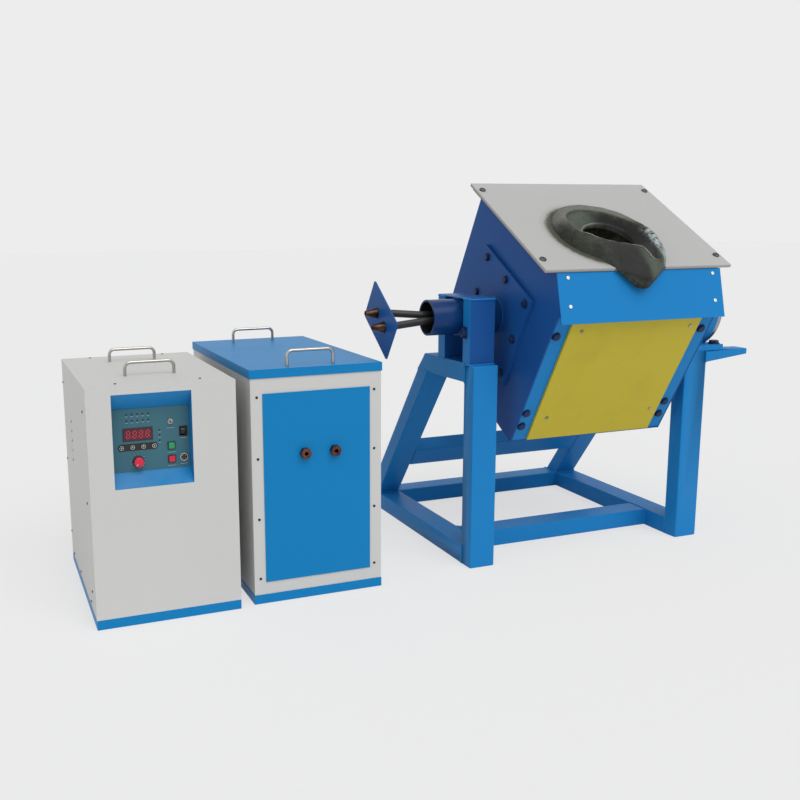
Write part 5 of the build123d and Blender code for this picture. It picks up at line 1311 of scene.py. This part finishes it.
def underside(way, foot):
    """Eight (radius, height) points of one ray from the foot back to the throat, below the skin on top."""
    ahead = max(-way[1], 1e-6)
    plate = (POT[1] - PLATE_FRONT - 1.0) / ahead if way[1] < -0.3 else 1e6
    if foot > plate:
        low_z = -float(np.interp(POT[0] + way[0] * foot, *DROOP))
        apron = (POT[1] - PLATE_FRONT + 2.0 - low_z * APRON_SLOPE * 0.75) / ahead
        tail = [(foot, low_z * 0.45), (max(foot + 0.05 * low_z, apron + 1.5), low_z * 0.85),
                (max(foot + 0.16 * low_z, apron + 1.0), low_z), (apron, low_z), (plate, low_z * 0.3)]
    else:
        tail = [(foot - 0.5 * step, 0.0) for step in range(1, 6)]
    hollow = min(UNDERSIDE_R, foot - 6.0)
    return tail + [(hollow, 0.0), (hollow, -NECK), (THROAT_R, -NECK)]


def pouring_mouth():
    """Rammed mouth and spout: rays from the throat to the foot, closed underneath."""
    s = settings()
    foot_ring = smooth_ring(FOOT_EDGE)
    turns = mouth_turns(s.rim_rays)
    ways = np.stack((np.sin(turns), -np.cos(turns)), axis=1)
    span = foot_ring - np.array(POT)
    bearing = np.arctan2(span[:, 0], -span[:, 1])
    order = np.argsort(bearing)
    foot = np.interp(turns, bearing[order], np.hypot(*span.T)[order], period=2 * math.pi)
    shares = np.linspace(0.0, 1.0, s.rim_steps)
    radii = THROAT_R + (foot[:, None] - THROAT_R) * shares[None, :]
    spots = np.array(POT) + ways[:, None, :] * radii[..., None]
    z, masks = mouth_fields(spots.reshape(-1, 2), foot_ring, s.rim_height / MM)
    z = z.reshape(radii.shape)
    masks = {name: mask.reshape(radii.shape) for name, mask in masks.items()}
    bm = bmesh.new()
    layers = {name: bm.verts.layers.float.new(name) for name in masks}
    rings = []
    for i, way in enumerate(ways):
        ring = []
        for k, share in enumerate(shares):
            x, u = spots[i, k]
            lump = LUMP_HEIGHT * noise.fractal(Vector((x, u, 7.0)) * LUMP_PITCH, 1.0, 2.0, 4)
            vert = bm.verts.new((x, u, z[i, k] + lump * min(share * 6, 1.0, (1 - share) * 8)))
            for name, layer in layers.items():
                vert[layer] = masks[name][i, k]
            ring.append(vert)
        for radius, height in underside(way, foot[i]):
            ring.append(bm.verts.new((POT[0] + way[0] * radius, POT[1] + way[1] * radius, height)))
        rings.append(ring)
    for i in range(len(rings)):
        a, b = rings[i], rings[(i + 1) % len(rings)]
        for k in range(len(a)):
            m = (k + 1) % len(a)
            bm.faces.new((a[k], b[k], b[m], a[m]))
    bmesh.ops.recalc_face_normals(bm, faces=bm.faces)
    mesh = mesh_from(bm, "pouring_mouth", BODY @ Matrix.Translation((0, 0, DECK)))
    smooth_mesh(mesh, 62.0)
    finish_piece("pouring_mouth", mesh, "pouring_rim", "refractory")


# ================================================================ stage
FOCAL_PIXELS = 958.65
FRAME_PIXELS = 800.0
SENSOR = 36.0
EYE = low("psu_base_tray") + Vector((-0.23089, -2.184171, 0.94462))
EYE_YAW, EYE_PITCH, EYE_ROLL = 0.36985, 0.18453, -0.00706
PRINCIPAL_X = 340.0
FLOOR_HALF = 30.0             # metres
FLOOR_GLOW = 0.72             # share of the plain backdrop colour in the floor, as the eye sees it


def seen_by_eye(tree):
    """1 for rays of the camera, of a mirror or through glass, 0 for the light itself."""
    path = tree.nodes.new("ShaderNodeLightPath")
    bent = math_node(tree, "MAXIMUM", path.outputs["Is Glossy Ray"], path.outputs["Is Transmission Ray"])
    return math_node(tree, "MAXIMUM", path.outputs["Is Camera Ray"], bent)


def mix_shaders(tree, share, first, second, output):
    """Mix of two shaders, fed to an output's surface."""
    mix = add_node(tree, "ShaderNodeMixShader", {0: share, 1: first.outputs[0], 2: second.outputs[0]})
    tree.links.new(mix.outputs[0], output.inputs["Surface"])


def set_camera():
    """Camera in front of the power cabinet, turned to the right and down."""
    data = bpy.data.cameras.new("camera")
    data.sensor_width = SENSOR
    data.lens = FOCAL_PIXELS / FRAME_PIXELS * SENSOR
    data.shift_x = (FRAME_PIXELS / 2 - PRINCIPAL_X) / FRAME_PIXELS
    data.clip_end = 60.0
    camera = add_object("camera", data)
    pitch = Matrix.Rotation(math.pi / 2 - EYE_PITCH, 4, "X")
    roll = Matrix.Rotation(EYE_ROLL, 4, "Z")
    camera.matrix_world = Matrix.Translation(EYE) @ Matrix.Rotation(-EYE_YAW, 4, "Z") @ pitch @ roll
    bpy.context.scene.camera = camera


def wide_sun(name, towards, strength, spread):
    """Distant soft light that shines from a direction."""
    data = bpy.data.lights.new(name, "SUN")
    data.energy = strength
    data.angle = math.radians(spread)
    lamp = add_object(name, data)
    lamp.rotation_euler = (-Vector(towards)).to_track_quat("-Z", "Y").to_euler()


def set_floor():
    """Wide pale floor that keeps the shadow and turns to the backdrop's colour."""
    colour = tuple(settings().background)
    material = bpy.data.materials.new("pale_floor")
    material.use_nodes = True
    tree = material.node_tree
    tree.nodes.clear()
    output = tree.nodes.new("ShaderNodeOutputMaterial")
    grain = noise_node(tree, object_vector(tree), 40.0, 3.0)
    tone = mix_colour(tree, remap(tree, grain, 0.3, 0.7, 0.0, 0.05), colour, [c * 0.9 for c in colour])
    diffuse = add_node(tree, "ShaderNodeBsdfDiffuse", {"Color": tone})
    glow = add_node(tree, "ShaderNodeEmission", {"Color": (*colour, 1.0)})
    mix_shaders(tree, math_node(tree, "MULTIPLY", seen_by_eye(tree), FLOOR_GLOW), diffuse, glow, output)
    bm = bmesh.new()
    corners = ((-1, -1), (1, -1), (1, 1), (-1, 1))
    bm.faces.new([bm.verts.new((x * FLOOR_HALF, y * FLOOR_HALF, 0)) for x, y in corners])
    mesh = mesh_from(bm, "floor")
    mesh.materials.append(material)
    floor = add_object("floor", mesh)


def set_world():
    """Soft white light from everywhere behind a plain backdrop."""
    world = bpy.data.worlds.new("studio")
    bpy.context.scene.world = world
    world.use_nodes = True
    tree = world.node_tree
    tree.nodes.clear()
    output = tree.nodes.new("ShaderNodeOutputWorld")
    soft = add_node(tree, "ShaderNodeBackground", {"Color": (0.97, 0.98, 1.0, 1.0), "Strength": 0.50})
    backdrop = add_node(tree, "ShaderNodeBackground", {"Color": (*settings().background, 1.0)})
    mix_shaders(tree, seen_by_eye(tree), soft, backdrop, output)


def set_stage():
    """Camera, floor, backdrop and two wide lamps."""
    bpy.context.scene.view_settings.view_transform = "Standard"
    set_camera()
    set_floor()
    set_world()
    wide_sun("key", (0.10, -0.62, 0.78), 1.65, 50.0)
    wide_sun("side", (-0.85, -0.35, 0.40), 0.26, 60.0)


# ================================================================ operators and panel
def make_operator(idname, label, words, action):
    """Operator class that runs one builder of this file."""
    def execute(self, context):
        action()
        return {"FINISHED"}
    name = "FURNACE_OT_" + idname.split(".")[1]
    return type(name, (bpy.types.Operator,), {"bl_idname": idname, "bl_label": label, "__doc__": words,
                                              "bl_options": {"REGISTER", "UNDO"}, "execute": execute})


def load_finishes():
    """Fill the table of finishes that the builders read."""
    FINISH.update(make_materials())


STEPS = [
    make_operator("furnace.finishes", "Finishes", "Paints, metals, plastics and refractory", load_finishes),
    make_operator("furnace.power_cabinet", "Power cabinet", "Cabinet with a control panel", power_cabinet),
    make_operator("furnace.capacitor_cabinet", "Capacitor cabinet", "Cabinet with two terminals",
                  capacitor_cabinet),
    make_operator("furnace.stand_frame", "Furnace frame", "Welded tube frame and pedestal", stand_frame),
    make_operator("furnace.drive", "Tilting drive", "Gearbox, worm shaft and handwheel", drive),
    make_operator("furnace.body_walls", "Body walls", "Plates, boards and apron", body_walls),
    make_operator("furnace.body_fasteners", "Body fasteners", "Bolts and screws of the body", body_fasteners),
    make_operator("furnace.trunnions", "Trunnions and leads", "Hollow trunnion and its leads", trunnions),
    make_operator("furnace.pouring_mouth", "Pouring mouth", "Rammed mouth with its spout", pouring_mouth),
    make_operator("furnace.stage", "Stage", "Camera, lamps, floor and backdrop", set_stage),
]


class FURNACE_PT_panel(bpy.types.Panel):
    """Lists the pieces of the furnace set"""
    bl_label = "Induction melting set"
    bl_idname = "FURNACE_PT_panel"
    bl_space_type = "VIEW_3D"
    bl_region_type = "UI"
    bl_category = "Furnace"

    def draw(self, context):
        for name in FurnaceSettings.__annotations__:
            self.layout.prop(context.scene.furnace_settings, name)
        for step in STEPS:
            self.layout.operator(step.bl_idname)


CLASSES = [FurnaceSettings, *STEPS, FURNACE_PT_panel]


def register():
    """Make the settings, the operators and the panel known to Blender."""
    for item in CLASSES:
        bpy.utils.register_class(item)
    bpy.types.Scene.furnace_settings = PointerProperty(type=FurnaceSettings)


def unregister():
    """Take them away again."""
    del bpy.types.Scene.furnace_settings
    for item in reversed(CLASSES):
        bpy.utils.unregister_class(item)


def main():
    """Build the whole scene and write down its outer sizes."""
    register()
    for step in STEPS:
        group, name = step.bl_idname.split(".")
        getattr(getattr(bpy.ops, group), name)()


if __name__ == "__main__":
    main()
